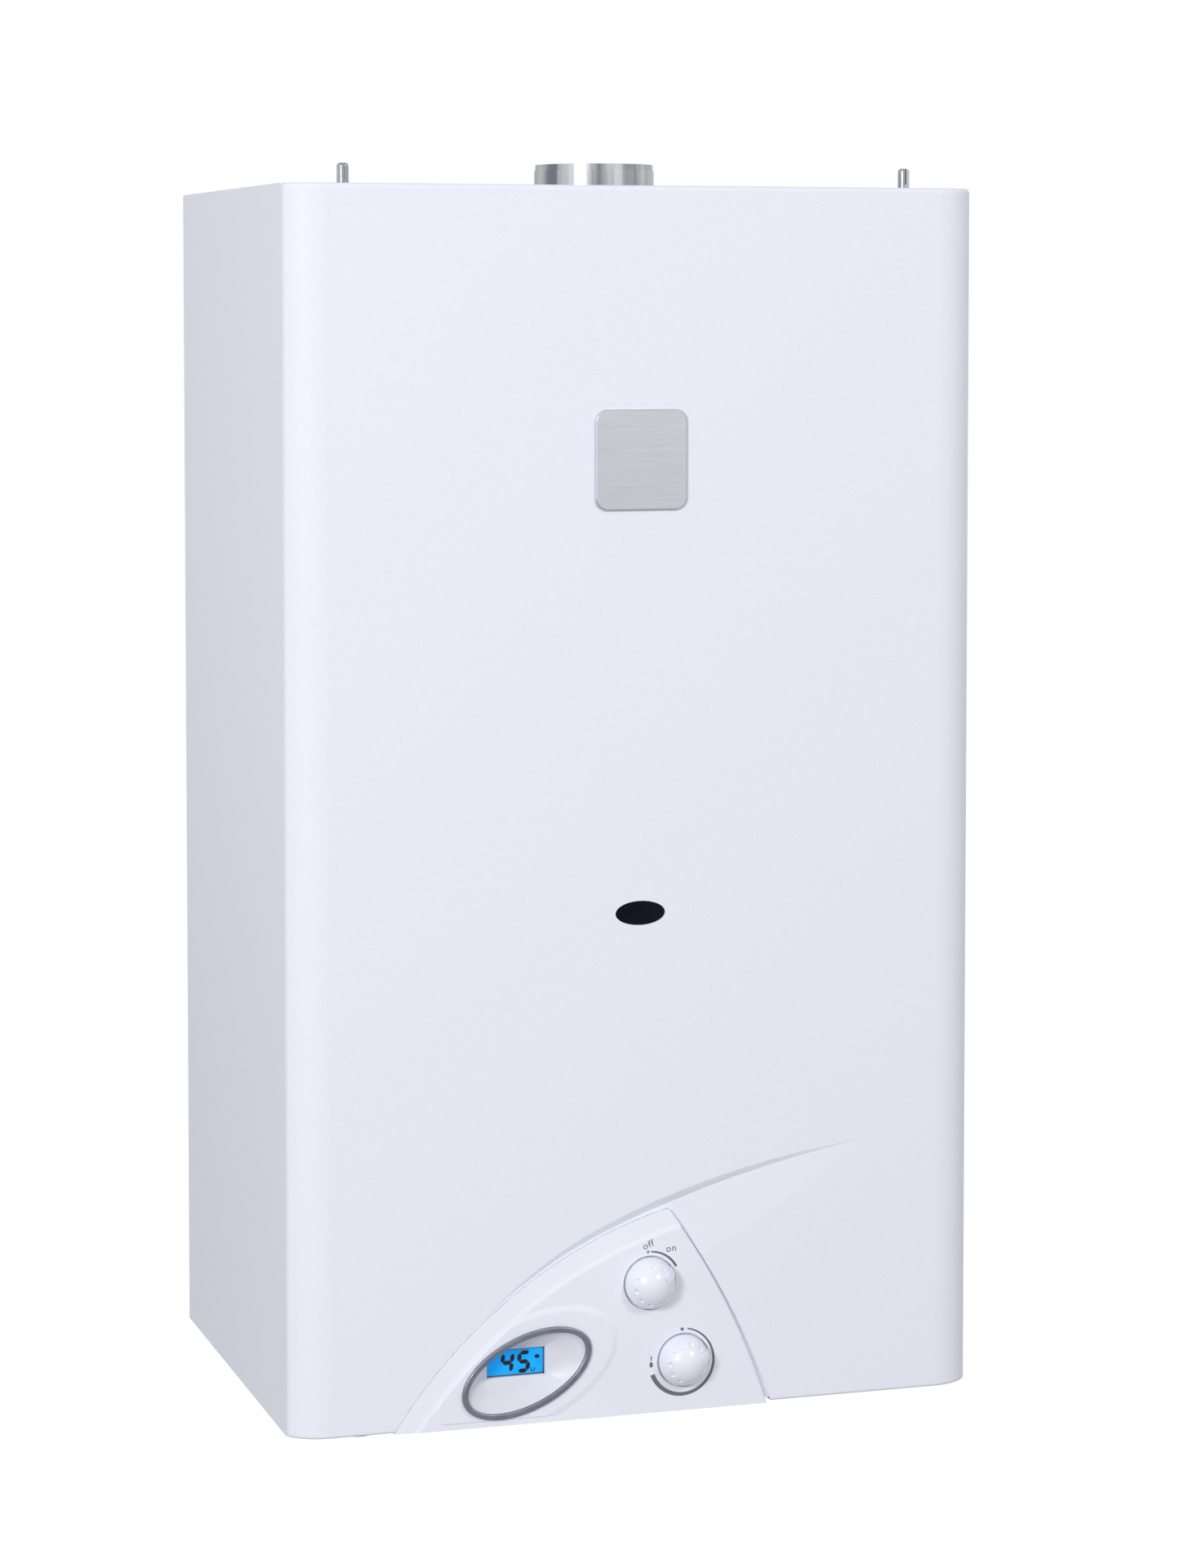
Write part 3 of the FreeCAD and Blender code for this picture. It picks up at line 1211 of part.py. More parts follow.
def fan_shaft():
    start = SCROLL_FRONT - MOTOR_PLATE - MOTOR_LENGTH - MOTOR_CAP
    end = SCROLL_FRONT + SCROLL_WALL + IMPELLER_GAP + HUB_LENGTH
    return cylinder(SHAFT_RADIUS, point(FAN_X, start, FAN_Z), ALONG_Y, end - start)


def hood_block(inset, low, high):
    """The hood's outside or inside: it narrows from the chamber to a riser behind the fan."""
    half = CHAMBER_WIDTH / 2 - inset
    neck_z = FAN_Z - RISER_DROP
    riser_x = (FAN_X - RISER_HALF_WIDTH + inset, FAN_X + RISER_HALF_WIDTH - inset)
    riser_y = (SCROLL_BACK + inset, SCROLL_BACK + RISER_DEPTH - inset)
    base = rectangle((-half, half), (CHAMBER_FRONT + inset, CHAMBER_BACK - inset), low)
    cone = Part.makeLoft([base, rectangle(riser_x, riser_y, neck_z)], True, True)
    return joined([cone, block(riser_x, riser_y, (neck_z, high))])


def flange_strips(low):
    """Level strips along the front and the back of the chamber."""
    across = (-CHAMBER_WIDTH / 2, CHAMBER_WIDTH / 2)
    upright = (low, low + FLANGE_THICKNESS)
    front = block(across, (CHAMBER_FRONT - FLANGE_WIDTH, CHAMBER_FRONT + CHAMBER_WALL), upright)
    back = block(across, (CHAMBER_BACK - CHAMBER_WALL, CHAMBER_BACK + FLANGE_WIDTH), upright)
    return [front, back]


def flange_screw_places(z):
    places = []
    for side in (-1, 1):
        for y in (CHAMBER_FRONT - FLANGE_WIDTH / 2, CHAMBER_BACK + FLANGE_WIDTH / 2):
            places.append(point(side * FLANGE_SCREW_X, y, z))
    return places


def flange_holes(z):
    start = z - 2 * FLANGE_THICKNESS
    radius = SCREW_RADIUS + RUNNING_FIT
    return [cylinder(radius, place, ALONG_Z, 4 * FLANGE_THICKNESS) for place in flange_screw_places(start)]


def exhaust_hood():
    top = FAN_Z + RISER_RISE
    outside = joined([hood_block(0, CHAMBER_TOP, top)] + flange_strips(CHAMBER_TOP))
    inlet = cylinder(INLET_RADIUS, point(FAN_X, SCROLL_BACK, FAN_Z), ALONG_Y, 2 * HOOD_WALL)
    return outside.cut([hood_block(HOOD_WALL, CHAMBER_TOP, top - HOOD_WALL), inlet] + flange_holes(CHAMBER_TOP))


def flange_screws():
    seats = flange_screw_places(CHAMBER_TOP + FLANGE_THICKNESS)
    seats += flange_screw_places(CHAMBER_BOTTOM + FLANGE_THICKNESS)
    return [screw(seat, ALONG_Z * -1, 2 * FLANGE_THICKNESS) for seat in seats]


# Heat exchanger
def tube_places():
    return [FIRST_TUBE_Y - TUBE_PITCH * index for index in range(TUBE_ROWS)]


def box_tube(wall, low, high):
    """A rectangular tube on the chamber's footprint."""
    half = CHAMBER_WIDTH / 2
    outside = block((-half, half), (CHAMBER_FRONT, CHAMBER_BACK), (low, high))
    across = (wall - half, half - wall)
    return outside.cut(block(across, (CHAMBER_FRONT + wall, CHAMBER_BACK - wall), (low, high)))


def electrode_places():
    z = CHAMBER_BOTTOM + ELECTRODE_RISE
    return [point(side * ELECTRODE_SPAN / 2, CHAMBER_FRONT, z) for side in (-1, 1)]


def combustion_chamber():
    walls = box_tube(CHAMBER_WALL, CHAMBER_BOTTOM, CHAMBER_TOP)
    strips = flange_strips(CHAMBER_BOTTOM) + flange_strips(CHAMBER_TOP - FLANGE_THICKNESS)
    cutters = flange_holes(CHAMBER_BOTTOM) + flange_holes(CHAMBER_TOP)
    for y in tube_places():
        start = point(-CHAMBER_WIDTH / 2, y, TUBE_Z)
        cutters.append(cylinder(TUBE_RADIUS + TUBE_FIT, start, ALONG_X, CHAMBER_WIDTH))
    sight = point(0, CHAMBER_FRONT, SIGHT_HEIGHT)
    cutters.append(cylinder(CHAMBER_SIGHT_RADIUS, sight, ALONG_Y, CHAMBER_WALL))
    for place in electrode_places():
        cutters.append(cylinder(INSULATOR_RADIUS + TUBE_FIT, place, ALONG_Y, CHAMBER_WALL))
    return joined([walls] + strips).cut(cutters)


def exchanger_fins():
    inner_half = CHAMBER_LENGTH / 2 - CHAMBER_WALL - FIN_GAP
    depth = (CHAMBER_MIDDLE - inner_half, CHAMBER_MIDDLE + inner_half)
    reach = CHAMBER_WIDTH / 2 - FIN_MARGIN
    count = int(2 * reach / FIN_PITCH) + 1
    first = -FIN_PITCH * (count - 1) / 2
    across = (first - FIN_THICKNESS / 2, first + FIN_THICKNESS / 2)
    fin = block(across, depth, (TUBE_Z - FIN_HEIGHT / 2, TUBE_Z + FIN_HEIGHT / 2))
    holes = []
    for y in tube_places():
        holes.append(cylinder(TUBE_RADIUS + TUBE_FIT, point(across[0], y, TUBE_Z), ALONG_X, FIN_THICKNESS))
    fin = fin.cut(holes)
    return [fin.translated(ALONG_X * (FIN_PITCH * index)) for index in range(count)]


def fin_tubes():
    """One tube that passes to and fro through the fins."""
    rows = tube_places()
    bend = TUBE_PITCH / 2
    route = [point(TUBE_END, rows[0], TUBE_Z)]
    side = -1
    for here, following in zip(rows, rows[1:]):
        route.append(point(side * (TUBE_END + bend), here, TUBE_Z))
        route.append(point(side * (TUBE_END + bend), following, TUBE_Z))
        side = -side
    route.append(point(side * TUBE_END, rows[-1], TUBE_Z))
    return pipe(route, bend, TUBE_RADIUS, TUBE_WALL)


def coil_pipe():
    """From the water valve's rear port up and once round the chamber, climbing on its left, to the first fin tube."""
    route = [
        point(VALVE_X, VALVE_Y + PORT_REACH - PORT_SOCKET, TEMPERATURE_Z),
        point(VALVE_X, RISER_Y, TEMPERATURE_Z),
        point(COIL_SIDE, RISER_Y, TEMPERATURE_Z),
        point(COIL_SIDE, RISER_Y, COIL_LOW),
        point(COIL_SIDE, COIL_BACK, COIL_LOW),
        point(-COIL_SIDE, COIL_BACK, COIL_LOW),
        point(-COIL_SIDE, COIL_FRONT, COIL_HIGH),
        point(COIL_RISE_X, COIL_FRONT, COIL_HIGH),
        point(COIL_RISE_X, FIRST_TUBE_Y, COIL_HIGH),
        point(COIL_RISE_X, FIRST_TUBE_Y, TUBE_Z),
        point(TUBE_END, FIRST_TUBE_Y, TUBE_Z),
    ]
    return pipe(route, TUBE_BEND, TUBE_RADIUS, TUBE_WALL)


def hot_pipe():
    """From the last fin tube down to the hot water connector."""
    outer_x = -TUBE_END - HOT_PIPE_OFFSET
    route = [
        point(-TUBE_END, LAST_TUBE_Y, TUBE_Z),
        point(outer_x, LAST_TUBE_Y, TUBE_Z),
        point(outer_x, LAST_TUBE_Y, HOT_PIPE_TURN_HIGH),
        point(HOT_X, LAST_TUBE_Y, HOT_PIPE_TURN_LOW),
        point(HOT_X, LAST_TUBE_Y, SOCKET_SEAT),
    ]
    return pipe(route, TUBE_BEND, TUBE_RADIUS, TUBE_WALL)


def cold_pipe():
    """A short elbow from the cold water connector into the water valve."""
    route = [
        point(COLD_X, VALVE_Y, SOCKET_SEAT),
        point(COLD_X, VALVE_Y, TEMPERATURE_Z),
        point(VALVE_X + PORT_REACH - PORT_SOCKET, VALVE_Y, TEMPERATURE_Z),
    ]
    return pipe(route, ELBOW_BEND, TUBE_RADIUS, TUBE_WALL)


def gas_pipe():
    """From the gas connector into the left of the gas valve."""
    route = [
        point(GAS_X, VALVE_Y, SOCKET_SEAT),
        point(GAS_X, VALVE_Y, GAS_PORT_Z),
        point(VALVE_X - PORT_REACH + PORT_SOCKET, VALVE_Y, GAS_PORT_Z),
    ]
    return pipe(route, ELBOW_BEND, TUBE_RADIUS, TUBE_WALL)


def chamber_bracket(side):
    """A folded strip between the back plate and the chamber's back."""
    x = side * BRACKET_X
    upright = (BRACKET_Z, BRACKET_Z + BRACKET_HEIGHT)
    foot = block((x, x + side * BRACKET_WIDTH), (-SHEET - BRACKET_SHEET, -SHEET), upright)
    web = block((x, x + side * BRACKET_SHEET), (CHAMBER_BACK, -SHEET), upright)
    tail = block((x, x - side * BRACKET_WIDTH), (CHAMBER_BACK, CHAMBER_BACK + BRACKET_SHEET), upright)
    return joined([foot, web, tail])


# Burner
def bar_places():
    return [BAR_PITCH * (index - (BAR_COUNT - 1) / 2) for index in range(BAR_COUNT)]


def burner_frame():
    walls = box_tube(FLANGE_THICKNESS, BURNER_BOTTOM, CHAMBER_BOTTOM)
    strips = flange_strips(CHAMBER_BOTTOM - FLANGE_THICKNESS)
    cutters = flange_holes(CHAMBER_BOTTOM)
    for x in bar_places():
        start = point(x, CHAMBER_FRONT, THROAT_Z)
        cutters.append(cylinder(THROAT_RADIUS + TUBE_FIT, start, ALONG_Y, FLANGE_THICKNESS))
    return joined([walls] + strips).cut(cutters)


def burner_bars():
    """Round-topped bars with flame slots across them and a throat through the frame's front."""
    x = bar_places()[0]
    half = BAR_WIDTH / 2
    front = CHAMBER_FRONT + FLANGE_THICKNESS + BAR_GAP
    back = CHAMBER_BACK - FLANGE_THICKNESS - BAR_GAP
    low = BURNER_BOTTOM + BAR_LOWER
    shoulder = CHAMBER_BOTTOM + BAR_RISE - half
    corners = [point(x - half, front, shoulder), point(x - half, front, low)]
    corners += [point(x + half, front, low), point(x + half, front, shoulder)]
    edges = [line(a, b) for a, b in zip(corners, corners[1:])]
    edges.append(arc(corners[3], point(x, front, shoulder + half), corners[0]))
    body = prism(Part.Wire(edges), ALONG_Y * (back - front))
    mouth = point(x, CHAMBER_FRONT - THROAT_REACH, THROAT_Z)
    throat = cylinder(THROAT_RADIUS, mouth, ALONG_Y, front - mouth.y)
    cutters = [cylinder(THROAT_BORE, mouth, ALONG_Y, THROAT_BORE_LENGTH)]
    for index in range(BAR_SLOTS):
        y = CHAMBER_MIDDLE + BAR_SLOT_PITCH * (index - (BAR_SLOTS - 1) / 2)
        along = (y - BAR_SLOT_WIDTH / 2, y + BAR_SLOT_WIDTH / 2)
        cutters.append(block((x - half, x + half), along, (shoulder + half - BAR_SLOT_DEPTH, shoulder + BAR_WIDTH)))
    bar = joined([body, throat]).cut(cutters)
    return [bar.translated(ALONG_X * (BAR_PITCH * index)) for index in range(BAR_COUNT)]


def burner_manifold():
    across = (-MANIFOLD_HALF_LENGTH, MANIFOLD_HALF_LENGTH)
    depth = (MANIFOLD_BACK - MANIFOLD_SIZE, MANIFOLD_BACK)
    upright = (MANIFOLD_LOW, MANIFOLD_LOW + MANIFOLD_SIZE)
    bar = block(across, depth, upright)
    long_edges = [edge for edge in bar.Edges if abs(edge.tangentAt(edge.FirstParameter).x) > 0.9]
    pieces = [bar.makeFillet(MANIFOLD_EDGE, long_edges)]
    tab_depth = (MANIFOLD_BACK - MANIFOLD_SIZE / 2, CHAMBER_FRONT)
    for side in (-1, 1):
        tab = (side * MANIFOLD_HALF_LENGTH, side * (MANIFOLD_HALF_LENGTH + MANIFOLD_TAB))
        pieces.append(block(tab, tab_depth, (MANIFOLD_LOW + MANIFOLD_EDGE, upright[1] - MANIFOLD_EDGE)))
    return joined(pieces)


def injectors():
    shapes = []
    for x in bar_places():
        start = point(x, MANIFOLD_BACK, THROAT_Z)
        base = hexagon(INJECTOR_FLATS, start, ALONG_Y, INJECTOR_BASE)
        tip_length = INJECTOR_LENGTH - INJECTOR_BASE
        tip_start = start + ALONG_Y * INJECTOR_BASE
        tip = Part.makeCone(INJECTOR_FLATS / 2, INJECTOR_TIP_RADIUS, tip_length, tip_start, ALONG_Y)
        shapes.append(joined([base, tip]))
    return shapes


def gas_feed():
    """From the gas valve's cap forward under the burner and up to the manifold."""
    manifold_y = MANIFOLD_BACK - MANIFOLD_SIZE / 2
    route = [
        point(VALVE_X, VALVE_Y, GAS_TOP + GAS_CAP + GAS_CAP_BOSS - PORT_SOCKET),
        point(VALVE_X, VALVE_Y, FEED_LEVEL),
        point(VALVE_X, manifold_y, FEED_LEVEL),
        point(VALVE_X, manifold_y, MANIFOLD_LOW),
    ]
    return pipe(route, FEED_BEND, FEED_RADIUS, TUBE_WALL)


def electrode_insulators():
    shapes = []
    for place in electrode_places():
        front = place - ALONG_Y * INSULATOR_REACH
        stem = cylinder(INSULATOR_RADIUS, front, ALONG_Y, INSULATOR_REACH + INSULATOR_INNER)
        collar_start = place - ALONG_Y * INSULATOR_COLLAR
        collar = cylinder(INSULATOR_COLLAR, collar_start, ALONG_Y, INSULATOR_COLLAR)
        bore = cylinder(ELECTRODE_RADIUS + RUNNING_FIT, front, ALONG_Y, INSULATOR_REACH + INSULATOR_INNER)
        shapes.append(joined([stem, collar]).cut(bore))
    return shapes


def electrode_rods():
    """Bent rods that end just above a burner bar."""
    shapes = []
    for place in electrode_places():
        tip_z = CHAMBER_BOTTOM + BAR_RISE + ELECTRODE_RADIUS + BAR_GAP
        route = [
            place - ALONG_Y * (INSULATOR_REACH + INSULATOR_COLLAR),
            place + ALONG_Y * (INSULATOR_INNER + INSULATOR_COLLAR),
            point(place.x, place.y + ELECTRODE_REACH, tip_z),
        ]
        shapes.append(swept(route, INSULATOR_COLLAR, ELECTRODE_RADIUS))
    return shapes


# Valves
def valve_at(x, y, z):
    """A place given from the valve's upright axis."""
    return point(VALVE_X + x, VALVE_Y + y, z)


def leg_places(z):
    return [valve_at(x, y, z) for x in (-LEG_X, LEG_X) for y in (-LEG_Y, LEG_Y)]


def screw_holes(clearance, low, high):
    return [cylinder(SCREW_RADIUS + clearance, place, ALONG_Z, high - low) for place in leg_places(low)]


def water_valve_body():
    axis = valve_at(0, 0, WATER_LOW)
    pieces = [cylinder(WATER_RADIUS, axis, ALONG_Z, WATER_FLANGE_TOP - WATER_LOW)]
    pieces.append(cylinder(VALVE_FLANGE_RADIUS, valve_at(0, 0, WATER_FLANGE_LOW), ALONG_Z, WATER_FLANGE))
    port = valve_at(0, 0, TEMPERATURE_Z)
    cutters = screw_holes(HOLE_CLEARANCE, WATER_FLANGE_LOW, WATER_FLANGE_TOP)
    for axis in (ALONG_X, ALONG_Y):
        pieces.append(cylinder(PORT_RADIUS, port, axis, PORT_REACH))
        socket = port + axis * (PORT_REACH - PORT_SOCKET)
        cutters.append(cylinder(TUBE_RADIUS + RUNNING_FIT, socket, axis, PORT_SOCKET))
    boss = point(TEMPERATURE_X, VALVE_Y, TEMPERATURE_Z)
    pieces.append(cylinder(SPINDLE_BOSS_RADIUS, boss, ALONG_Y * -1, SPINDLE_BOSS_REACH))
    bore = boss - ALONG_Y * SPINDLE_BOSS_REACH
    cutters.append(cylinder(SPINDLE_RADIUS + RUNNING_FIT, bore, ALONG_Y, SPINDLE_SEAT))
    for place in leg_places(WATER_FLANGE_LOW - SCREW_HEAD):
        cutters.append(cylinder(SCREW_HEAD_RADIUS + HOLE_CLEARANCE, place, ALONG_Z, SCREW_HEAD))
    return joined(pieces).cut(cutters)


def diaphragm():
    disc = cylinder(VALVE_FLANGE_RADIUS, valve_at(0, 0, WATER_FLANGE_TOP), ALONG_Z, DIAPHRAGM)
    return disc.cut(screw_holes(HOLE_CLEARANCE, WATER_FLANGE_TOP, COVER_LOW))


def water_valve_cover():
    low = valve_at(0, 0, COVER_LOW)
    pieces = [cylinder(VALVE_FLANGE_RADIUS, low, ALONG_Z, WATER_FLANGE)]
    pieces.append(cylinder(COVER_DOME_RADIUS, low, ALONG_Z, COVER_DOME))
    pieces.append(cylinder(COVER_NECK_RADIUS, low, ALONG_Z, COVER_NECK))
    cutters = screw_holes(HOLE_CLEARANCE, COVER_LOW, COVER_FLANGE_TOP)
    cutters.append(cylinder(COVER_CAVITY_RADIUS, low, ALONG_Z, COVER_CAVITY))
    cutters.append(cylinder(ROD_RADIUS + RUNNING_FIT, low, ALONG_Z, COVER_NECK))
    return joined(pieces).cut(cutters)


def valve_screws():
    seats = leg_places(WATER_FLANGE_LOW)
    length = COVER_FLANGE_TOP - WATER_FLANGE_LOW + LEG_THREAD
    return [screw(seat, ALONG_Z, length) for seat in seats]


def push_rod():
    """A plate on the diaphragm, a rod up to the gas valve's disc, and a cone that works the flow switch."""
    plate_low = COVER_LOW + ROD_PLATE_GAP
    plate = cylinder(ROD_PLATE_RADIUS, valve_at(0, 0, plate_low), ALONG_Z, ROD_PLATE)
    rod = cylinder(ROD_RADIUS, valve_at(0, 0, plate_low), ALONG_Z, DISC_LOW - plate_low)
    swell = CAM_SLOPE * CAM_HALF_HEIGHT
    cam_low = valve_at(0, 0, CAM_Z - CAM_HALF_HEIGHT)
    cam = Part.makeCone(CAM_RADIUS + swell, CAM_RADIUS - swell, 2 * CAM_HALF_HEIGHT, cam_low, ALONG_Z)
    return joined([plate, rod, cam])


def gas_valve_body():
    half = GAS_HALF_WIDTH
    across = (VALVE_X - half, VALVE_X + half)
    depth = (VALVE_Y - half, VALVE_Y + half)
    body = block(across, depth, (GAS_LOW, GAS_TOP))
    upright = [edge for edge in body.Edges if abs(edge.tangentAt(edge.FirstParameter).z) > 0.9]
    pieces = [body.makeFillet(GAS_CORNER, upright)]
    leg_length = GAS_LOW - COVER_FLANGE_TOP
    for place in leg_places(COVER_FLANGE_TOP):
        pieces.append(cylinder(LEG_RADIUS, place, ALONG_Z, leg_length + GAS_FLOOR))
    boss_start = point(POWER_X, VALVE_Y - half / 2, POWER_Z)
    boss_length = SPINDLE_BOSS_REACH - half / 2
    pieces.append(cylinder(SPINDLE_BOSS_RADIUS, boss_start, ALONG_Y * -1, boss_length))
    port = valve_at(-PORT_REACH, 0, GAS_PORT_Z)
    pieces.append(cylinder(PORT_RADIUS, port, ALONG_X, PORT_REACH - GAS_CAVITY_RADIUS))
    cutters = [cylinder(ROD_RADIUS + RUNNING_FIT, valve_at(0, 0, GAS_LOW), ALONG_Z, GAS_FLOOR)]
    cutters.append(cylinder(GAS_WELL_RADIUS, valve_at(0, 0, GAS_LOW + GAS_FLOOR), ALONG_Z, GAS_WELL))
    cutters.append(cylinder(GAS_CAVITY_RADIUS, valve_at(0, 0, SEAT_Z), ALONG_Z, GAS_TOP - SEAT_Z))
    cutters.append(cylinder(TUBE_RADIUS + RUNNING_FIT, port, ALONG_X, PORT_SOCKET))
    bore = point(POWER_X, VALVE_Y - SPINDLE_BOSS_REACH, POWER_Z)
    cutters.append(cylinder(SPINDLE_RADIUS + RUNNING_FIT, bore, ALONG_Y, boss_length))
    cutters.append(cylinder(PLUNGER_RADIUS + RUNNING_FIT, valve_at(0, 0, SOLENOID_Z), ALONG_X, half))
    cutters += screw_holes(RUNNING_FIT, COVER_FLANGE_TOP, COVER_FLANGE_TOP + LEG_THREAD)
    for place in cap_screw_places(GAS_TOP - LEG_THREAD):
        cutters.append(cylinder(SCREW_RADIUS + RUNNING_FIT, place, ALONG_Z, LEG_THREAD))
    return joined(pieces).cut(cutters)


def cap_screw_places(z):
    reach = GAS_HALF_WIDTH - GAS_CORNER
    return [valve_at(x, y, z) for x in (-reach, reach) for y in (-reach, reach)]


def gas_valve_cap():
    half = GAS_HALF_WIDTH
    across = (VALVE_X - half, VALVE_X + half)
    depth = (VALVE_Y - half, VALVE_Y + half)
    plate = block(across, depth, (GAS_TOP, GAS_TOP + GAS_CAP))
    upright = [edge for edge in plate.Edges if abs(edge.tangentAt(edge.FirstParameter).z) > 0.9]
    top = GAS_TOP + GAS_CAP + GAS_CAP_BOSS
    boss = cylinder(GAS_CAP_BOSS_RADIUS, valve_at(0, 0, GAS_TOP), ALONG_Z, top - GAS_TOP)
    socket = valve_at(0, 0, top - PORT_SOCKET)
    cutters = [cylinder(FEED_RADIUS + RUNNING_FIT, socket, ALONG_Z, PORT_SOCKET)]
    for place in cap_screw_places(GAS_TOP):
        cutters.append(cylinder(SCREW_RADIUS + HOLE_CLEARANCE, place, ALONG_Z, GAS_CAP))
    return joined([plate.makeFillet(GAS_CORNER, upright), boss]).cut(cutters)


def cap_screws():
    return [screw(seat, ALONG_Z * -1, GAS_CAP + LEG_THREAD) for seat in cap_screw_places(GAS_TOP + GAS_CAP)]


def gas_disc():
    return cylinder(DISC_RADIUS, valve_at(0, 0, DISC_LOW), ALONG_Z, DISC_THICKNESS)


def valve_spring():
    """A coil between the disc and the cap, each quarter turn an arc."""
    low = DISC_LOW + DISC_THICKNESS + SPRING_WIRE + SPRING_GAP
    high = GAS_TOP - SPRING_WIRE - SPRING_GAP
    quarters = 4 * SPRING_TURNS

    def on_coil(quarter):
        angle = quarter * math.pi / 2
        height = low + (high - low) * quarter / quarters
        return valve_at(SPRING_RADIUS * math.cos(angle), SPRING_RADIUS * math.sin(angle), height)

    arcs = [arc(on_coil(index), on_coil(index + 0.5), on_coil(index + 1)) for index in range(quarters)]
    start_direction = arcs[0].tangentAt(arcs[0].FirstParameter)
    ring = Part.makeCircle(SPRING_WIRE, on_coil(0), start_direction)
    return Part.Wire(arcs).makePipeShell([Part.Wire(ring)], True, False)


def solenoid():
    start = valve_at(GAS_HALF_WIDTH, 0, SOLENOID_Z)
    flange = cylinder(SOLENOID_RADIUS, start, ALONG_X, SOLENOID_LENGTH)
    bore_length = PLUNGER_LENGTH - PLUNGER_INSET + 2 * PLUNGER_TRAVEL
    return flange.cut(cylinder(PLUNGER_RADIUS + RUNNING_FIT, start, ALONG_X, bore_length))


def solenoid_plunger():
    start = valve_at(GAS_HALF_WIDTH - PLUNGER_INSET, 0, SOLENOID_Z)
    return cylinder(PLUNGER_RADIUS, start, ALONG_X, PLUNGER_LENGTH)


def flow_switch():
    across = (VALVE_X - SWITCH_STANDOFF - SWITCH_LENGTH, VALVE_X - SWITCH_STANDOFF)
    depth = (VALVE_Y - SWITCH_HALF_DEPTH, VALVE_Y + SWITCH_HALF_DEPTH)
    body = block(across, depth, (GAS_LOW - SWITCH_HEIGHT, GAS_LOW))
    bore = cylinder(BUTTON_RADIUS + RUNNING_FIT, valve_at(-SWITCH_STANDOFF, 0, CAM_Z), ALONG_X * -1, BUTTON_BORE)
    return body.cut(bore)


def flow_switch_button():
    reach = CAM_RADIUS + CAM_SLOPE * BUTTON_RADIUS + BUTTON_GAP
    return cylinder(BUTTON_RADIUS, valve_at(-reach, 0, CAM_Z), ALONG_X * -1, BUTTON_LENGTH)


# Connectors
def connectors(places):
    shapes = []
    for place in places:
        thread_low = place - ALONG_Z * CONNECTOR_DROP
        nut_low = SHEET - NUT_HEIGHT
        neck_low = point(place.x, place.y, nut_low)
        collar_low = point(place.x, place.y, BOTTOM_INNER)
        socket_low = collar_low + ALONG_Z * CONNECTOR_COLLAR
        pieces = [cylinder(THREAD_RADIUS, thread_low, ALONG_Z, nut_low + CONNECTOR_DROP)]
        pieces.append(cylinder(CONNECTOR_NECK, neck_low, ALONG_Z, BOTTOM_INNER - nut_low))
        pieces.append(hexagon(CONNECTOR_HEX, collar_low, ALONG_Z, CONNECTOR_COLLAR))
        pieces.append(cylinder(CONNECTOR_SOCKET_RADIUS, socket_low, ALONG_Z, CONNECTOR_SOCKET))
        top = socket_low.z + CONNECTOR_SOCKET
        bore = cylinder(TUBE_RADIUS - TUBE_WALL, thread_low, ALONG_Z, SOCKET_SEAT + CONNECTOR_DROP)
        seat = point(place.x, place.y, SOCKET_SEAT)
        socket = cylinder(TUBE_RADIUS + RUNNING_FIT, seat, ALONG_Z, top - SOCKET_SEAT)
        shapes.append(joined(pieces).cut([bore, socket]))
    return shapes


def connector_nuts():
    shapes = []
    for place in connector_places():
        low = place + ALONG_Z * (SHEET - NUT_HEIGHT)
        nut = hexagon(NUT_HEX, low, ALONG_Z, NUT_HEIGHT)
        shapes.append(nut.cut(cylinder(CONNECTOR_NECK + RUNNING_FIT, low, ALONG_Z, NUT_HEIGHT)))
    return shapes


# Electrical pieces
def box_block(across, inset):
    """A block on the control box's footprint, drawn in by inset."""
    depth = (inset - BOX_FROM_WALL - BOX_LENGTH, -BOX_FROM_WALL - inset)
    return block(across, depth, (BOX_LOW + inset, BOX_LOW + BOX_HEIGHT - inset))


def control_box():
    face = INNER_HALF - BOX_THICKNESS
    return box_block((face, INNER_HALF), 0).cut(box_block((face, INNER_HALF - BOX_WALL), BOX_WALL))


def control_lid():
    face = INNER_HALF - BOX_THICKNESS
    return box_block((face - BOX_LID, face), 0)


def pressure_switch():
    axis = ALONG_Y * -1
    face = point(PRESSURE_X, -SHEET, PRESSURE_Z)
    body_start = face + axis * PRESSURE_FOOT
    rim_start = body_start + axis * ((PRESSURE_BODY - PRESSURE_RIM) / 2)
    tap_start = body_start + axis * PRESSURE_BODY
    pieces = [cylinder(PRESSURE_FOOT_RADIUS, face, axis, PRESSURE_FOOT)]
    pieces.append(cylinder(PRESSURE_RADIUS, body_start, axis, PRESSURE_BODY))
    pieces.append(cylinder(PRESSURE_RIM_RADIUS, rim_start, axis, PRESSURE_RIM))
    pieces.append(cylinder(TAP_RADIUS, tap_start, axis, TAP_LENGTH))
    return joined(pieces).cut(cylinder(TAP_BORE, tap_start, axis, TAP_LENGTH))


def pressure_tube():
    """A soft tube between the taps of the switch and the fan scroll."""
    switch_end = -SHEET - PRESSURE_FOOT - PRESSURE_BODY - TAP_LENGTH
    scroll_end = DUCT_HALF_WIDTH + SCROLL_WALL + TAP_LENGTH
    route = [
        point(PRESSURE_X, switch_end + HOSE_LAP, PRESSURE_Z),
        point(PRESSURE_X, FLUE_Y, PRESSURE_Z),
        point(scroll_end - HOSE_LAP, FLUE_Y, PRESSURE_Z),
    ]
    return pipe(route, HOSE_BEND, HOSE_RADIUS, HOSE_RADIUS - TAP_RADIUS - RUNNING_FIT)


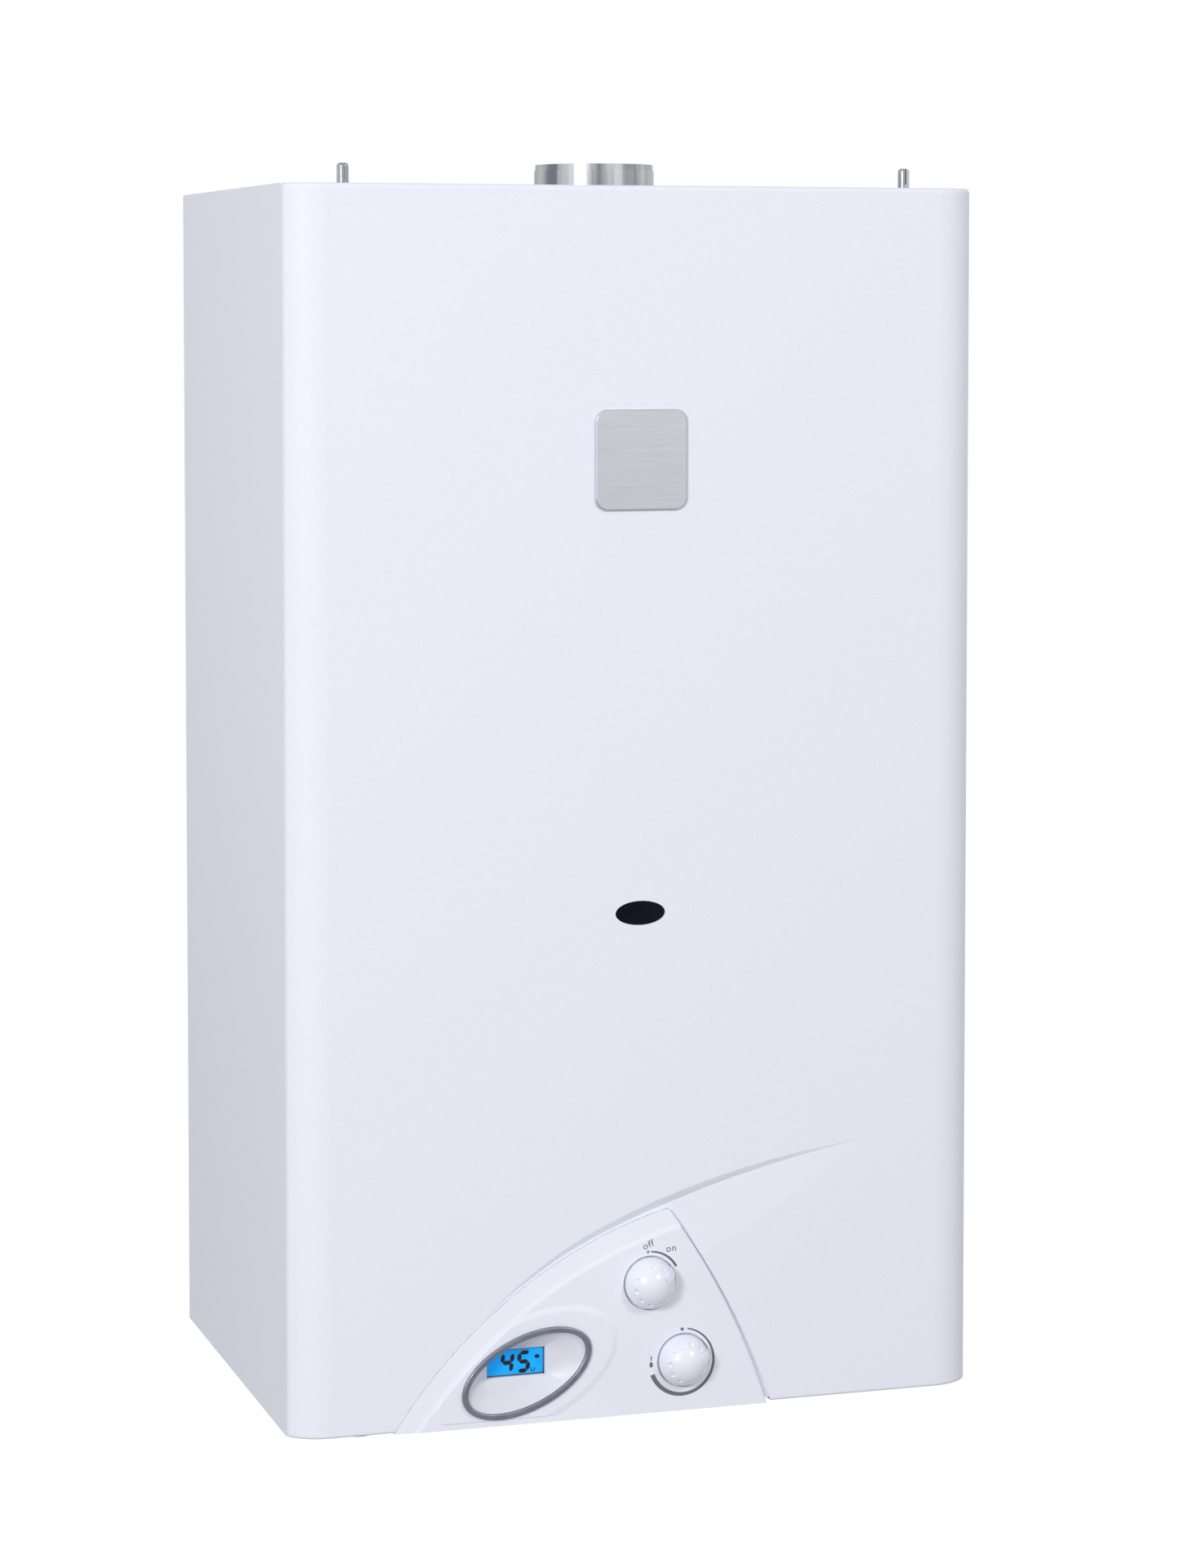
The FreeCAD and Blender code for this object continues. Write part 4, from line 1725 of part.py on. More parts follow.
save("back_plate", back_plate())
save("left_side_panel", side_panel(-1))
save("right_side_panel", side_panel(1))
save("top_panel", top_panel())
save("bottom_panel", bottom_panel())
save("front_cover", front_cover())
save("cover_pins", [cover_pin(place) for place in pin_places()])
save("cover_screws", cover_screws())
save("sight_window", sight_window())
save("sight_frame", sight_frame())
save("badge_plate", badge_plate())
save("control_panel", control_panel())
save("display_ring", display_ring())
save("display_dish", display_dish())
save("display_lcd", display_lcd())
save("power_knob", knob(POWER_X, POWER_Z, POWER_POINTER))
save("temperature_knob", knob(TEMPERATURE_X, TEMPERATURE_Z, TEMPERATURE_POINTER))
POWER_SEAT = VALVE_Y - GAS_HALF_WIDTH / 2 - KNOB_LIFT
save("power_spindle", spindle(POWER_X, POWER_Z, POWER_POINTER, POWER_SEAT))
TEMPERATURE_SEAT = VALVE_Y - SPINDLE_BOSS_REACH + SPINDLE_SEAT - KNOB_LIFT
save("temperature_spindle", spindle(TEMPERATURE_X, TEMPERATURE_Z, TEMPERATURE_POINTER, TEMPERATURE_SEAT))
save("flue_collar", flue_collar())
save("flue_gasket", flue_gasket())
save("fan_scroll", fan_scroll())
save("fan_impeller", fan_impeller())
save("fan_motor", fan_motor())
save("fan_shaft", fan_shaft())
save("exhaust_hood", exhaust_hood())
save("combustion_chamber", combustion_chamber())
save("exchanger_fins", exchanger_fins())
save("fin_tubes", fin_tubes())
save("coil_pipe", coil_pipe())
save("hot_pipe", hot_pipe())
save("cold_pipe", cold_pipe())
save("gas_pipe", gas_pipe())
save("chamber_brackets", [chamber_bracket(-1), chamber_bracket(1)])
save("burner_frame", burner_frame())
save("burner_bars", burner_bars())
save("burner_manifold", burner_manifold())
save("injectors", injectors())
save("gas_feed_pipe", gas_feed())
save("electrode_insulators", electrode_insulators())
save("electrode_rods", electrode_rods())
save("water_valve_body", water_valve_body())
save("diaphragm", diaphragm())
save("water_valve_cover", water_valve_cover())
save("push_rod", push_rod())
save("gas_valve_body", gas_valve_body())
save("gas_valve_cap", gas_valve_cap())
save("gas_disc", gas_disc())
save("valve_spring", valve_spring())
save("solenoid", solenoid())
save("solenoid_plunger", solenoid_plunger())
save("flow_switch", flow_switch())
save("flow_switch_button", flow_switch_button())
save("pipe_connectors", connectors(connector_places()))
save("connector_nuts", connector_nuts())
save("control_box", control_box())
save("control_lid", control_lid())
save("assembly_screws", flue_screws() + motor_screws() + flange_screws() + valve_screws() + cap_screws())
save("pressure_switch", pressure_switch())
save("pressure_tube", pressure_tube())
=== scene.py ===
import json
import math

import bmesh
import bpy
from mathutils import Matrix, Vector


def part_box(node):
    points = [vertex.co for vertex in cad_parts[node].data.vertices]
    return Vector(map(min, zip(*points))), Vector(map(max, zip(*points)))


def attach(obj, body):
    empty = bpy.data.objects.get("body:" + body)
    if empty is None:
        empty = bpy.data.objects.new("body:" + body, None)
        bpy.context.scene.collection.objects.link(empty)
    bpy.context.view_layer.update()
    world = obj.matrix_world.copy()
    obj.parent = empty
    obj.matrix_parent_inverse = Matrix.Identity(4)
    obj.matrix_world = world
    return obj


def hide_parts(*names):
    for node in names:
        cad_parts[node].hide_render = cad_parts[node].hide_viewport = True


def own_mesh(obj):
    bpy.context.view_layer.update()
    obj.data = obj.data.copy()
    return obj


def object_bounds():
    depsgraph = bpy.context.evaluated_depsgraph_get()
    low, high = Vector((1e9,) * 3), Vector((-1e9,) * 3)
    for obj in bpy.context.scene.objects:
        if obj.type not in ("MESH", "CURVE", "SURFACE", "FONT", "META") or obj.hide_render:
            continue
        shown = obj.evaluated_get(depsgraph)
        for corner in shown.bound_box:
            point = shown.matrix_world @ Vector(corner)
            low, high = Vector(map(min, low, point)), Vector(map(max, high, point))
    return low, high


# Looks of a wall-hung gas water heater. Metres: the wall is the plane Y = 0, the front faces -Y,
# +Z is up and the origin is the middle of the wall fixings.

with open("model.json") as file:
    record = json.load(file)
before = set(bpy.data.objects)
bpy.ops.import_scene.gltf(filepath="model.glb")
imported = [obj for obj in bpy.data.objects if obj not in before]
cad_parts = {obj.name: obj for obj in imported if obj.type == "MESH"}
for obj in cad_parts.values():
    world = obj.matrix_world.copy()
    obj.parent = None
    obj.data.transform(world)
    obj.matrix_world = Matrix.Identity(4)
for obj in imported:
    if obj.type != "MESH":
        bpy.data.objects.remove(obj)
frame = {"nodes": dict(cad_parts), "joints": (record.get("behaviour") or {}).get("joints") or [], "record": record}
CAD_BOX = [list(corner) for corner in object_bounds()]

MM = 0.001
CASE_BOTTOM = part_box("front_cover")[0].z
PANEL_HUMP = 0.6 * MM
PANEL_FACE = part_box("control_panel")[0].y + PANEL_HUMP

# Camera
CAMERA_PLACE = (-0.5889, -2.0493, 0.2432)
CAMERA_YAW = 17.26
CAMERA_PITCH = 3.235
CAMERA_LENS = 90.2
CAMERA_SHIFT = (0.0021, -0.165)

# Light
AMBIENT = 0.53
KEY_PLACE = (-1.90, -2.16, 0.81)
KEY_SIZE = 0.55
KEY_POWER = 39.0
FILL_PLACE = (1.29, -2.30, 1.26)
FILL_SIZE = 0.5
FILL_POWER = 16.3
FLOOR_LEVEL = -1.4
FLOOR_HALF = 9.0
FLOOR_CELLS = 8
FLOOR_LIFT = 0.7

# Print on the control panel: places from the knobs' axes, angles in degrees clockwise from the top
PRINT_THICKNESS = 0.05 * MM
PRINT_PROUD = 0.02 * MM
LETTER_SIZE = 4.9 * MM
LETTER_SPACING = 1.12
LETTER_BOLDNESS = 0.02 * MM
OFF_PLACE = (-0.9 * MM, 18.8 * MM)
OFF_TILT = 20
ON_PLACE = (11.0 * MM, 16.3 * MM)
ON_TILT = 4
BAND_STEP = 3
POWER_RADIUS = 15.4 * MM
POWER_TICK = (-5.5, -1.5)
POWER_TICK_WIDTH = 1.2 * MM
POWER_BAND = (2, 62)
POWER_BAND_WIDTHS = (0.8 * MM, 1.3 * MM)
TEMPERATURE_SHIFT = (-0.7 * MM, -0.6 * MM)
TEMPERATURE_RADIUS = 16.3 * MM
TEMPERATURE_BAND = (10, 250)
TEMPERATURE_BAND_WIDTHS = (0.7 * MM, 2.3 * MM)
MARK_RADIUS = 16.0 * MM
COLD_HALVES = (0.9 * MM, 0.8 * MM)
HOT_DEGREES = 268
BULB_HALVES = (0.95 * MM, 1.4 * MM)
STEM_RADIUS = 3.0 * MM
STEM = (-6, 6)
STEM_LENGTH = 2.2 * MM

# Display: places from the lower left corner of what shows of the screen
SCREEN_LAP = 1.0 * MM
SCREEN_CUT = (9.4 * MM, 6.7 * MM)
# Width of the dark strip painted along the display window's edges as the shade of its walls
SCREEN_SHADE_WIDTH = 0.7 * MM
DIGIT_HEIGHT = 11.0 * MM
DIGIT_WIDTH = 6.9 * MM
SEGMENT = 2.1 * MM
SEGMENT_GAP = 0.08 * MM
DIGIT_SLANT = 0.12
DIGIT_LEFTS = (6.5 * MM, 14.9 * MM)
DIGIT_BOTTOM = 1.0 * MM
FOUR = ("upper left", "upper right", "middle", "lower right")
FIVE = ("top", "upper left", "middle", "lower right", "bottom")
DEGREE_PLACE = (25.8 * MM, 8.6 * MM)
DEGREE_HALVES = (1.3 * MM, 1.0 * MM)
UNIT_PLACE = (23.6 * MM, 2.6 * MM)
UNIT_RADIUS = 1.0 * MM
UNIT_ARC = (50, 310)
UNIT_WIDTH = 0.45 * MM

# Pipe connectors and lock nuts: G1/2 thread
THREAD_PITCH = 1.814 * MM
THREAD_RADIUS = 10.48 * MM
THREAD_DEPTH = 1.16 * MM
THREAD_RUNOUT = 2.0 * MM
THREAD_ROUNDING = 0.8
THREAD_ROWS = 10
LEAD_IN_LENGTH = 1.2 * MM
LEAD_IN_DEPTH = 0.9 * MM
BORE_RADIUS = 6.0 * MM
MOUTH_RADIUS = 6.6 * MM
MOUTH_DEPTH = 0.6 * MM
NECK_RADIUS = 10.3 * MM
COLLAR_ACROSS = 27.0 * MM
COLLAR_RISE = 2.0 * MM
COLLAR_HEIGHT = 6.0 * MM
COLLAR_ROWS = 6
SEAT_RISE = 8.0 * MM
SOCKET_RADIUS = 7.05 * MM
SOCKET_OUTSIDE = 10.0 * MM
NUT_ACROSS = 30.0 * MM
NUT_BORE = 10.35 * MM
NUT_ROWS = 8
CORNER_SLOPE = 1.7
RING_STEPS = 48
SHARP_ANGLE = 35

# Valve spring
SPRING_WIRE = 1.4 * MM
SPRING_TURNS = 5
TURN_STEPS = 28
WIRE_STEPS = 12


# Materials
def make_surface(name, colour, roughness, metallic=0.0):
    material = bpy.data.materials.new(name)
    material.use_nodes = True
    shader = shader_of(material)
    shader.inputs["Base Color"].default_value = (*colour, 1.0)
    shader.inputs["Roughness"].default_value = roughness
    shader.inputs["Metallic"].default_value = metallic
    return material


def shader_of(material):
    return material.node_tree.nodes["Principled BSDF"]


def place_texture(material, kind, scale, stretch):
    """A texture node in the object's own coordinates, stretched along the axes."""
    nodes = material.node_tree.nodes
    links = material.node_tree.links
    where = nodes.new("ShaderNodeTexCoord")
    mapping = nodes.new("ShaderNodeMapping")
    mapping.inputs["Scale"].default_value = stretch
    texture = nodes.new(kind)
    texture.inputs["Scale"].default_value = scale
    links.new(where.outputs["Object"], mapping.inputs["Vector"])
    links.new(mapping.outputs["Vector"], texture.inputs["Vector"])
    return texture


def noise(material, scale, detail=2.0, stretch=(1, 1, 1)):
    texture = place_texture(material, "ShaderNodeTexNoise", scale, stretch)
    texture.inputs["Detail"].default_value = detail
    return texture.outputs["Fac"]


def cells(material, scale):
    return place_texture(material, "ShaderNodeTexVoronoi", scale, (1, 1, 1)).outputs["Color"]


def tint(material, pattern, low, high, start=0.35, end=0.65):
    """Colour that runs from low to high with the pattern."""
    ramp = material.node_tree.nodes.new("ShaderNodeValToRGB")
    ramp.color_ramp.elements[0].position = start
    ramp.color_ramp.elements[0].color = (*low, 1.0)
    ramp.color_ramp.elements[1].position = end
    ramp.color_ramp.elements[1].color = (*high, 1.0)
    links = material.node_tree.links
    links.new(pattern, ramp.inputs["Fac"])
    links.new(ramp.outputs["Color"], shader_of(material).inputs["Base Color"])


def roughen(material, pattern, low, high):
    """Roughness that runs from low to high with the pattern."""
    spread = material.node_tree.nodes.new("ShaderNodeMapRange")
    spread.inputs["From Min"].default_value = 0.3
    spread.inputs["From Max"].default_value = 0.7
    spread.inputs["To Min"].default_value = low
    spread.inputs["To Max"].default_value = high
    links = material.node_tree.links
    links.new(pattern, spread.inputs["Value"])
    links.new(spread.outputs["Result"], shader_of(material).inputs["Roughness"])


def relief(material, pattern, depth):
    """Fine bumps of the given depth in metres."""
    bump = material.node_tree.nodes.new("ShaderNodeBump")
    bump.inputs["Distance"].default_value = depth
    links = material.node_tree.links
    links.new(pattern, bump.inputs["Height"])
    links.new(bump.outputs["Normal"], shader_of(material).inputs["Normal"])


def white_enamel():
    material = make_surface("white_enamel", (0.80, 0.82, 0.91), 0.32)
    tint(material, noise(material, 1500, 1), (0.755, 0.777, 0.865), (0.80, 0.823, 0.912), 0.30, 0.40)
    roughen(material, noise(material, 90), 0.46, 0.54)
    relief(material, noise(material, 650, 1), 0.012 * MM)
    shader_of(material).inputs["Specular IOR Level"].default_value = 0.15
    return material


def galvanised():
    material = make_surface("galvanised", (0.58, 0.59, 0.61), 0.45, 1.0)
    tint(material, cells(material, 160), (0.50, 0.51, 0.53), (0.66, 0.67, 0.69), 0.1, 0.9)
    roughen(material, noise(material, 120, 3), 0.34, 0.55)
    relief(material, noise(material, 400), 0.01 * MM)
    return material


def bright_steel():
    material = make_surface("bright_steel", (0.36, 0.37, 0.40), 0.24, 1.0)
    # Vertical streaks: partly brushed grain, partly dark and light bands painted into the colour to stand for
    # reflections round the metal.
    streaks_and_reflection_bands = noise(material, 110, 2, (1, 1, 0.01))
    tint(material, streaks_and_reflection_bands, (0.18, 0.185, 0.21), (0.52, 0.53, 0.56), 0.38, 0.62)
    roughen(material, noise(material, 900, 2, (1, 1, 0.02)), 0.18, 0.30)
    return material


def screw_steel():
    material = make_surface("screw_steel", (0.62, 0.63, 0.65), 0.24, 1.0)
    tint(material, noise(material, 500, 2), (0.52, 0.53, 0.55), (0.70, 0.71, 0.73))
    roughen(material, noise(material, 900), 0.18, 0.32)
    return material


def badge_metal():
    material = make_surface("badge_metal", (0.55, 0.56, 0.60), 0.42, 0.85)
    tint(material, noise(material, 1800, 2, (0.02, 1, 1)), (0.53, 0.54, 0.58), (0.57, 0.58, 0.62))
    roughen(material, noise(material, 1800, 2, (0.02, 1, 1)), 0.38, 0.46)
    return material


def panel_plastic():
    material = make_surface("panel_plastic", (0.815, 0.836, 0.927), 0.36)
    tint(material, noise(material, 18, 2), (0.80, 0.823, 0.912), (0.827, 0.85, 0.942))
    roughen(material, noise(material, 200), 0.32, 0.42)
    relief(material, noise(material, 2200, 1), 0.006 * MM)
    return material


def dish_plastic():
    material = make_surface("dish_plastic", (0.68, 0.70, 0.78), 0.42)
    tint(material, noise(material, 60, 2), (0.66, 0.68, 0.757), (0.705, 0.727, 0.807))
    roughen(material, noise(material, 300), 0.38, 0.50)
    relief(material, noise(material, 2600, 1), 0.008 * MM)
    return material


def ring_chrome():
    material = make_surface("ring_chrome", (0.234, 0.243, 0.305), 0.36, 0.7)
    tint(material, noise(material, 160, 2), (0.215, 0.224, 0.283), (0.26, 0.269, 0.338))
    roughen(material, noise(material, 700), 0.30, 0.44)
    return material


def lcd_blue():
    material = make_surface("lcd_blue", (0.012, 0.36, 0.89), 0.16)
    tint(material, noise(material, 110, 1), (0.010, 0.33, 0.85), (0.014, 0.385, 0.93))
    roughen(material, noise(material, 400), 0.12, 0.20)
    shader_of(material).inputs["Specular IOR Level"].default_value = 0.1
    shader_of(material).inputs["Emission Color"].default_value = (0.012, 0.36, 0.89, 1.0)
    shader_of(material).inputs["Emission Strength"].default_value = 0.25
    return material


def knob_plastic():
    material = make_surface("knob_plastic", (0.80, 0.82, 0.91), 0.22)
    tint(material, noise(material, 50, 2), (0.785, 0.807, 0.895), (0.81, 0.832, 0.92))
    roughen(material, noise(material, 350), 0.18, 0.28)
    relief(material, noise(material, 1800, 1), 0.004 * MM)
    shader_of(material).inputs["Coat Weight"].default_value = 0.25
    return material


def smoked_glass():
    material = make_surface("smoked_glass", (0.004, 0.0048, 0.010), 0.10)
    tint(material, noise(material, 40, 2), (0.003, 0.0038, 0.008), (0.006, 0.007, 0.013))
    roughen(material, noise(material, 200), 0.07, 0.14)
    shader_of(material).inputs["Specular IOR Level"].default_value = 0.1
    return material


def black_plastic():
    material = make_surface("black_plastic", (0.022, 0.022, 0.024), 0.50)
    tint(material, noise(material, 90), (0.018, 0.018, 0.020), (0.030, 0.030, 0.033))
    roughen(material, noise(material, 300), 0.42, 0.60)
    relief(material, noise(material, 1600), 0.02 * MM)
    return material


def grey_plastic():
    material = make_surface("grey_plastic", (0.075, 0.079, 0.088), 0.48)
    tint(material, noise(material, 90), (0.066, 0.070, 0.078), (0.090, 0.094, 0.104))
    roughen(material, noise(material, 300), 0.40, 0.58)
    relief(material, noise(material, 1400), 0.02 * MM)
    return material


def copper():
    material = make_surface("copper", (0.70, 0.36, 0.22), 0.30, 1.0)
    tint(material, noise(material, 45, 4), (0.52, 0.235, 0.13), (0.80, 0.44, 0.29))
    roughen(material, noise(material, 150, 3), 0.20, 0.42)
    relief(material, noise(material, 700), 0.008 * MM)
    return material


def brass():
    material = make_surface("brass", (0.66, 0.47, 0.20), 0.28, 1.0)
    tint(material, noise(material, 70, 3), (0.56, 0.385, 0.15), (0.74, 0.55, 0.26))
    roughen(material, noise(material, 500, 2), 0.20, 0.36)
    relief(material, noise(material, 900, 1, (1, 1, 6)), 0.002 * MM)
    return material


def cast_alloy():
    material = make_surface("cast_alloy", (0.48, 0.49, 0.51), 0.50, 1.0)
    tint(material, noise(material, 80, 3), (0.42, 0.43, 0.45), (0.55, 0.56, 0.58))
    roughen(material, noise(material, 260, 3), 0.42, 0.62)
    relief(material, noise(material, 1000, 3), 0.04 * MM)
    return material


def soft_rubber():
    material = make_surface("soft_rubber", (0.018, 0.018, 0.019), 0.72)
    tint(material, noise(material, 120), (0.014, 0.014, 0.015), (0.026, 0.026, 0.027))
    roughen(material, noise(material, 500), 0.62, 0.82)
    relief(material, noise(material, 1800), 0.015 * MM)
    return material


def gasket_rubber():
    material = make_surface("gasket_rubber", (0.30, 0.05, 0.035), 0.62)
    tint(material, noise(material, 120), (0.25, 0.040, 0.028), (0.36, 0.064, 0.045))
    roughen(material, noise(material, 500), 0.52, 0.72)
    relief(material, noise(material, 1500), 0.015 * MM)
    return material


def ceramic():
    material = make_surface("ceramic", (0.80, 0.77, 0.71), 0.14)
    tint(material, noise(material, 150), (0.77, 0.74, 0.675), (0.83, 0.80, 0.745))
    roughen(material, noise(material, 400), 0.10, 0.20)
    return material


def spring_steel():
    material = make_surface("spring_steel", (0.36, 0.37, 0.39), 0.30, 1.0)
    tint(material, noise(material, 400), (0.29, 0.30, 0.32), (0.44, 0.45, 0.47))
    roughen(material, noise(material, 900), 0.24, 0.40)
    return material


def print_ink():
    material = make_surface("print_ink", (0.13, 0.135, 0.17), 0.55)
    tint(material, noise(material, 1500, 1), (0.12, 0.125, 0.16), (0.155, 0.16, 0.195))
    roughen(material, noise(material, 900), 0.48, 0.62)
    return material


def display_ink():
    material = make_surface("display_ink", (0.005, 0.006, 0.010), 0.30)
    tint(material, noise(material, 700, 1), (0.004, 0.005, 0.008), (0.008, 0.010, 0.016))
    roughen(material, noise(material, 900), 0.25, 0.38)
    return material


SLOT_MATERIALS = (
    white_enamel, galvanised, bright_steel, screw_steel, badge_metal, panel_plastic, dish_plastic,
    ring_chrome, lcd_blue, knob_plastic, smoked_glass, black_plastic, grey_plastic, copper, brass,
    cast_alloy, soft_rubber, gasket_rubber, ceramic, spring_steel,
)
MATERIALS = {make.__name__: make() for make in SLOT_MATERIALS}
INK = print_ink()
DISPLAY_INK = display_ink()

for subpart in frame["record"]["subparts"]:
    node = frame["nodes"][subpart["node"]]
    node.data.materials.clear()
    node.data.materials.append(MATERIALS[subpart["material_slot"]])


# Pieces
def add_piece(name, mesh, material):
    """Puts a mesh in the scene as a piece of the heater's casing."""
    piece = bpy.data.objects.new(name, mesh)
    bpy.context.scene.collection.objects.link(piece)
    mesh.materials.append(material)
    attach(piece, "heater")
    return piece


def flat_piece(name, outlines, face, material):
    """Thin prisms on the upright plane Y = face, from outlines of (x, z) points."""
    form = bmesh.new()
    for outline in outlines:
        loop = [form.verts.new((x, face - PRINT_PROUD, z)) for x, z in outline]
        top = form.faces.new(loop)
        sides = bmesh.ops.extrude_face_region(form, geom=[top])
        moved = [part for part in sides["geom"] if isinstance(part, bmesh.types.BMVert)]
        bmesh.ops.translate(form, verts=moved, vec=(0, PRINT_THICKNESS, 0))
    bmesh.ops.recalc_face_normals(form, faces=form.faces)
    mesh = bpy.data.meshes.new(name)
    form.to_mesh(mesh)
    form.free()
    return add_piece(name, mesh, material)


def joint_named(name):
    return next(joint for joint in frame["joints"] if joint["name"] == name)


def joint_place(name):
    """Where a joint stands on the panel, as x and z."""
    place = joint_named(name)["pos_m"]
    return place[0], place[2]


def clock_point(centre, radius, degrees):
    """A point at an angle clockwise from the top."""
    angle = math.radians(degrees)
    return centre[0] + radius * math.sin(angle), centre[1] + radius * math.cos(angle)


def clock_band(centre, radius, start, end, start_width, end_width):
    """A band round a centre that widens from its start angle to its end angle."""
    steps = max(2, int((end - start) / BAND_STEP))
    outer = []
    inner = []
    for index in range(steps + 1):
        share = index / steps
        half = (start_width + (end_width - start_width) * share) / 2
        degrees = start + (end - start) * share
        outer.append(clock_point(centre, radius + half, degrees))
        inner.append(clock_point(centre, radius - half, degrees))
    return outer + inner[::-1]


def round_mark(centre, half_width, half_height, steps=20):
    points = []
    for index in range(steps):
        turn = 2 * math.pi * index / steps
        x = centre[0] + half_width * math.cos(turn)
        z = centre[1] + half_height * math.sin(turn)
        points.append((x, z))
    return points


def print_word(name, word, knob, place, tilt):
    """A printed word on the panel, placed from a knob's axis."""
    curve = bpy.data.curves.new(name, "FONT")
    curve.body = word
    curve.size = LETTER_SIZE
    curve.space_character = LETTER_SPACING
    curve.offset = LETTER_BOLDNESS
    curve.align_x = "CENTER"
    curve.align_y = "CENTER"
    curve.extrude = PRINT_THICKNESS / 2
    curve.materials.append(INK)
    piece = bpy.data.objects.new(name, curve)
    bpy.context.scene.collection.objects.link(piece)
    upright = Matrix.Rotation(math.radians(90), 4, "X")
    turned = Matrix.Rotation(math.radians(-tilt), 4, "Y")
    moved = Matrix.Translation((knob[0] + place[0], PANEL_FACE, knob[1] + place[1]))
    piece.matrix_world = moved @ turned @ upright
    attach(piece, "heater")


def print_power_scale():
    """Off and on over the upper knob, and a band that widens to the right."""
    centre = joint_place("power_knob_turn")
    tick = clock_band(centre, POWER_RADIUS, *POWER_TICK, POWER_TICK_WIDTH, POWER_TICK_WIDTH)
    band = clock_band(centre, POWER_RADIUS, *POWER_BAND, *POWER_BAND_WIDTHS)
    flat_piece("power_scale", [tick, band], PANEL_FACE, INK)
    print_word("word_off", "off", centre, OFF_PLACE, OFF_TILT)
    print_word("word_on", "on", centre, ON_PLACE, ON_TILT)


def print_temperature_scale():
    """A band round the lower knob that widens clockwise, with a cold and a hot mark."""
    knob = joint_place("temperature_knob_turn")
    centre = (knob[0] + TEMPERATURE_SHIFT[0], knob[1] + TEMPERATURE_SHIFT[1])
    band = clock_band(centre, TEMPERATURE_RADIUS, *TEMPERATURE_BAND, *TEMPERATURE_BAND_WIDTHS)
    cold = round_mark(clock_point(centre, MARK_RADIUS, 0), *COLD_HALVES)
    hot = clock_point(centre, MARK_RADIUS, HOT_DEGREES)
    bulb = round_mark(hot, *BULB_HALVES)
    stem = clock_band(hot, STEM_RADIUS, *STEM, STEM_LENGTH, STEM_LENGTH)
    flat_piece("temperature_scale", [band, cold, bulb, stem], PANEL_FACE, INK)


def digit_segments(lit, left, bottom):
    """The lit bars of one seven-segment digit, as slanted outlines of (x, z) points."""
    half = SEGMENT / 2
    middle = DIGIT_HEIGHT / 2
    ends = {
        "top": ((half, DIGIT_HEIGHT - half), (DIGIT_WIDTH - half, DIGIT_HEIGHT - half)),
        "middle": ((half, middle), (DIGIT_WIDTH - half, middle)),
        "bottom": ((half, half), (DIGIT_WIDTH - half, half)),
        "upper left": ((half, middle), (half, DIGIT_HEIGHT - half)),
        "upper right": ((DIGIT_WIDTH - half, middle), (DIGIT_WIDTH - half, DIGIT_HEIGHT - half)),
        "lower left": ((half, half), (half, middle)),
        "lower right": ((DIGIT_WIDTH - half, half), (DIGIT_WIDTH - half, middle)),
    }
    outlines = []
    for name in lit:
        start = Vector(ends[name][0])
        end = Vector(ends[name][1])
        along = (end - start).normalized()
        across = Vector((-along.y, along.x)) * half
        start += along * SEGMENT_GAP
        end -= along * SEGMENT_GAP
        points = [
            start, start + along * half - across, end - along * half - across,
            end, end - along * half + across, start + along * half + across,
        ]
        outlines.append([(left + p.x + p.y * DIGIT_SLANT, bottom + p.y) for p in points])
    return outlines


def fill_display():
    """Two digits, a degree mark and a unit mark on the display, and a dark strip of painted shade along the
    window's edges.
    """
    low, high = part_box("display_lcd")
    left, right = low.x + SCREEN_LAP, high.x - SCREEN_LAP
    bottom, top = low.z + SCREEN_LAP, high.z - SCREEN_LAP
    face = low.y
    marks = []
    for lit, place in zip((FOUR, FIVE), DIGIT_LEFTS):
        marks += digit_segments(lit, left + place, bottom + DIGIT_BOTTOM)
    marks.append(round_mark((left + DEGREE_PLACE[0], bottom + DEGREE_PLACE[1]), *DEGREE_HALVES))
    unit = (left + UNIT_PLACE[0], bottom + UNIT_PLACE[1])
    marks.append(clock_band(unit, UNIT_RADIUS, *UNIT_ARC, UNIT_WIDTH, UNIT_WIDTH))
    flat_piece("display_digits", marks, face, DISPLAY_INK)
    # The dark grey bars along the window's bottom, right, top and left edges are painted shade from the window's
    # walls, not a part.
    edge = SCREEN_SHADE_WIDTH
    cut_x = left + SCREEN_CUT[0]
    cut_z = top - SCREEN_CUT[1]
    painted_shade_bars = [
        [(left, bottom), (right, bottom), (right, bottom + edge), (left, bottom + edge)],
        [(right - edge, bottom), (right, bottom), (right, top), (right - edge, top)],
        [(cut_x, top - edge), (right, top - edge), (right, top), (cut_x, top)],
        [(left, bottom), (left + edge, bottom), (left + edge, cut_z), (left, cut_z)],
    ]
    flat_piece("display_painted_shade", painted_shade_bars, face, MATERIALS["grey_plastic"])


def hexagon_radius(across_flats):
    """The distance from the axis to a six-sided outline, as a function of the angle."""
    def radius(angle, height):
        return across_flats / 2 / math.cos((angle + math.pi / 6) % (math.pi / 3) - math.pi / 6)
    return radius


def round_radius(value):
    return lambda angle, height: value


def chamfered_hexagon(across_flats, low, high):
    """A hexagon whose corners are turned off towards both ends."""
    outline = hexagon_radius(across_flats)

    def radius(angle, height):
        end = min(height - low, high - height)
        return min(outline(angle, height), across_flats / 2 + end * CORNER_SLOPE)
    return radius


def thread_radius(low, high):
    """A rounded screw thread that fades in and out at its ends, with a cone at the lower one."""
    def radius(angle, height):
        turn = (height - low) / THREAD_PITCH - angle / (2 * math.pi)
        groove = THREAD_DEPTH * (0.5 - 0.5 * math.cos(2 * math.pi * turn)) ** THREAD_ROUNDING
        end = min(height - low, high - height)
        lead_in = max(0.0, 1.0 - (height - low) / LEAD_IN_LENGTH) * LEAD_IN_DEPTH
        fade = min(1.0, end / THREAD_RUNOUT)
        return THREAD_RADIUS - max(groove * fade, lead_in)
    return radius


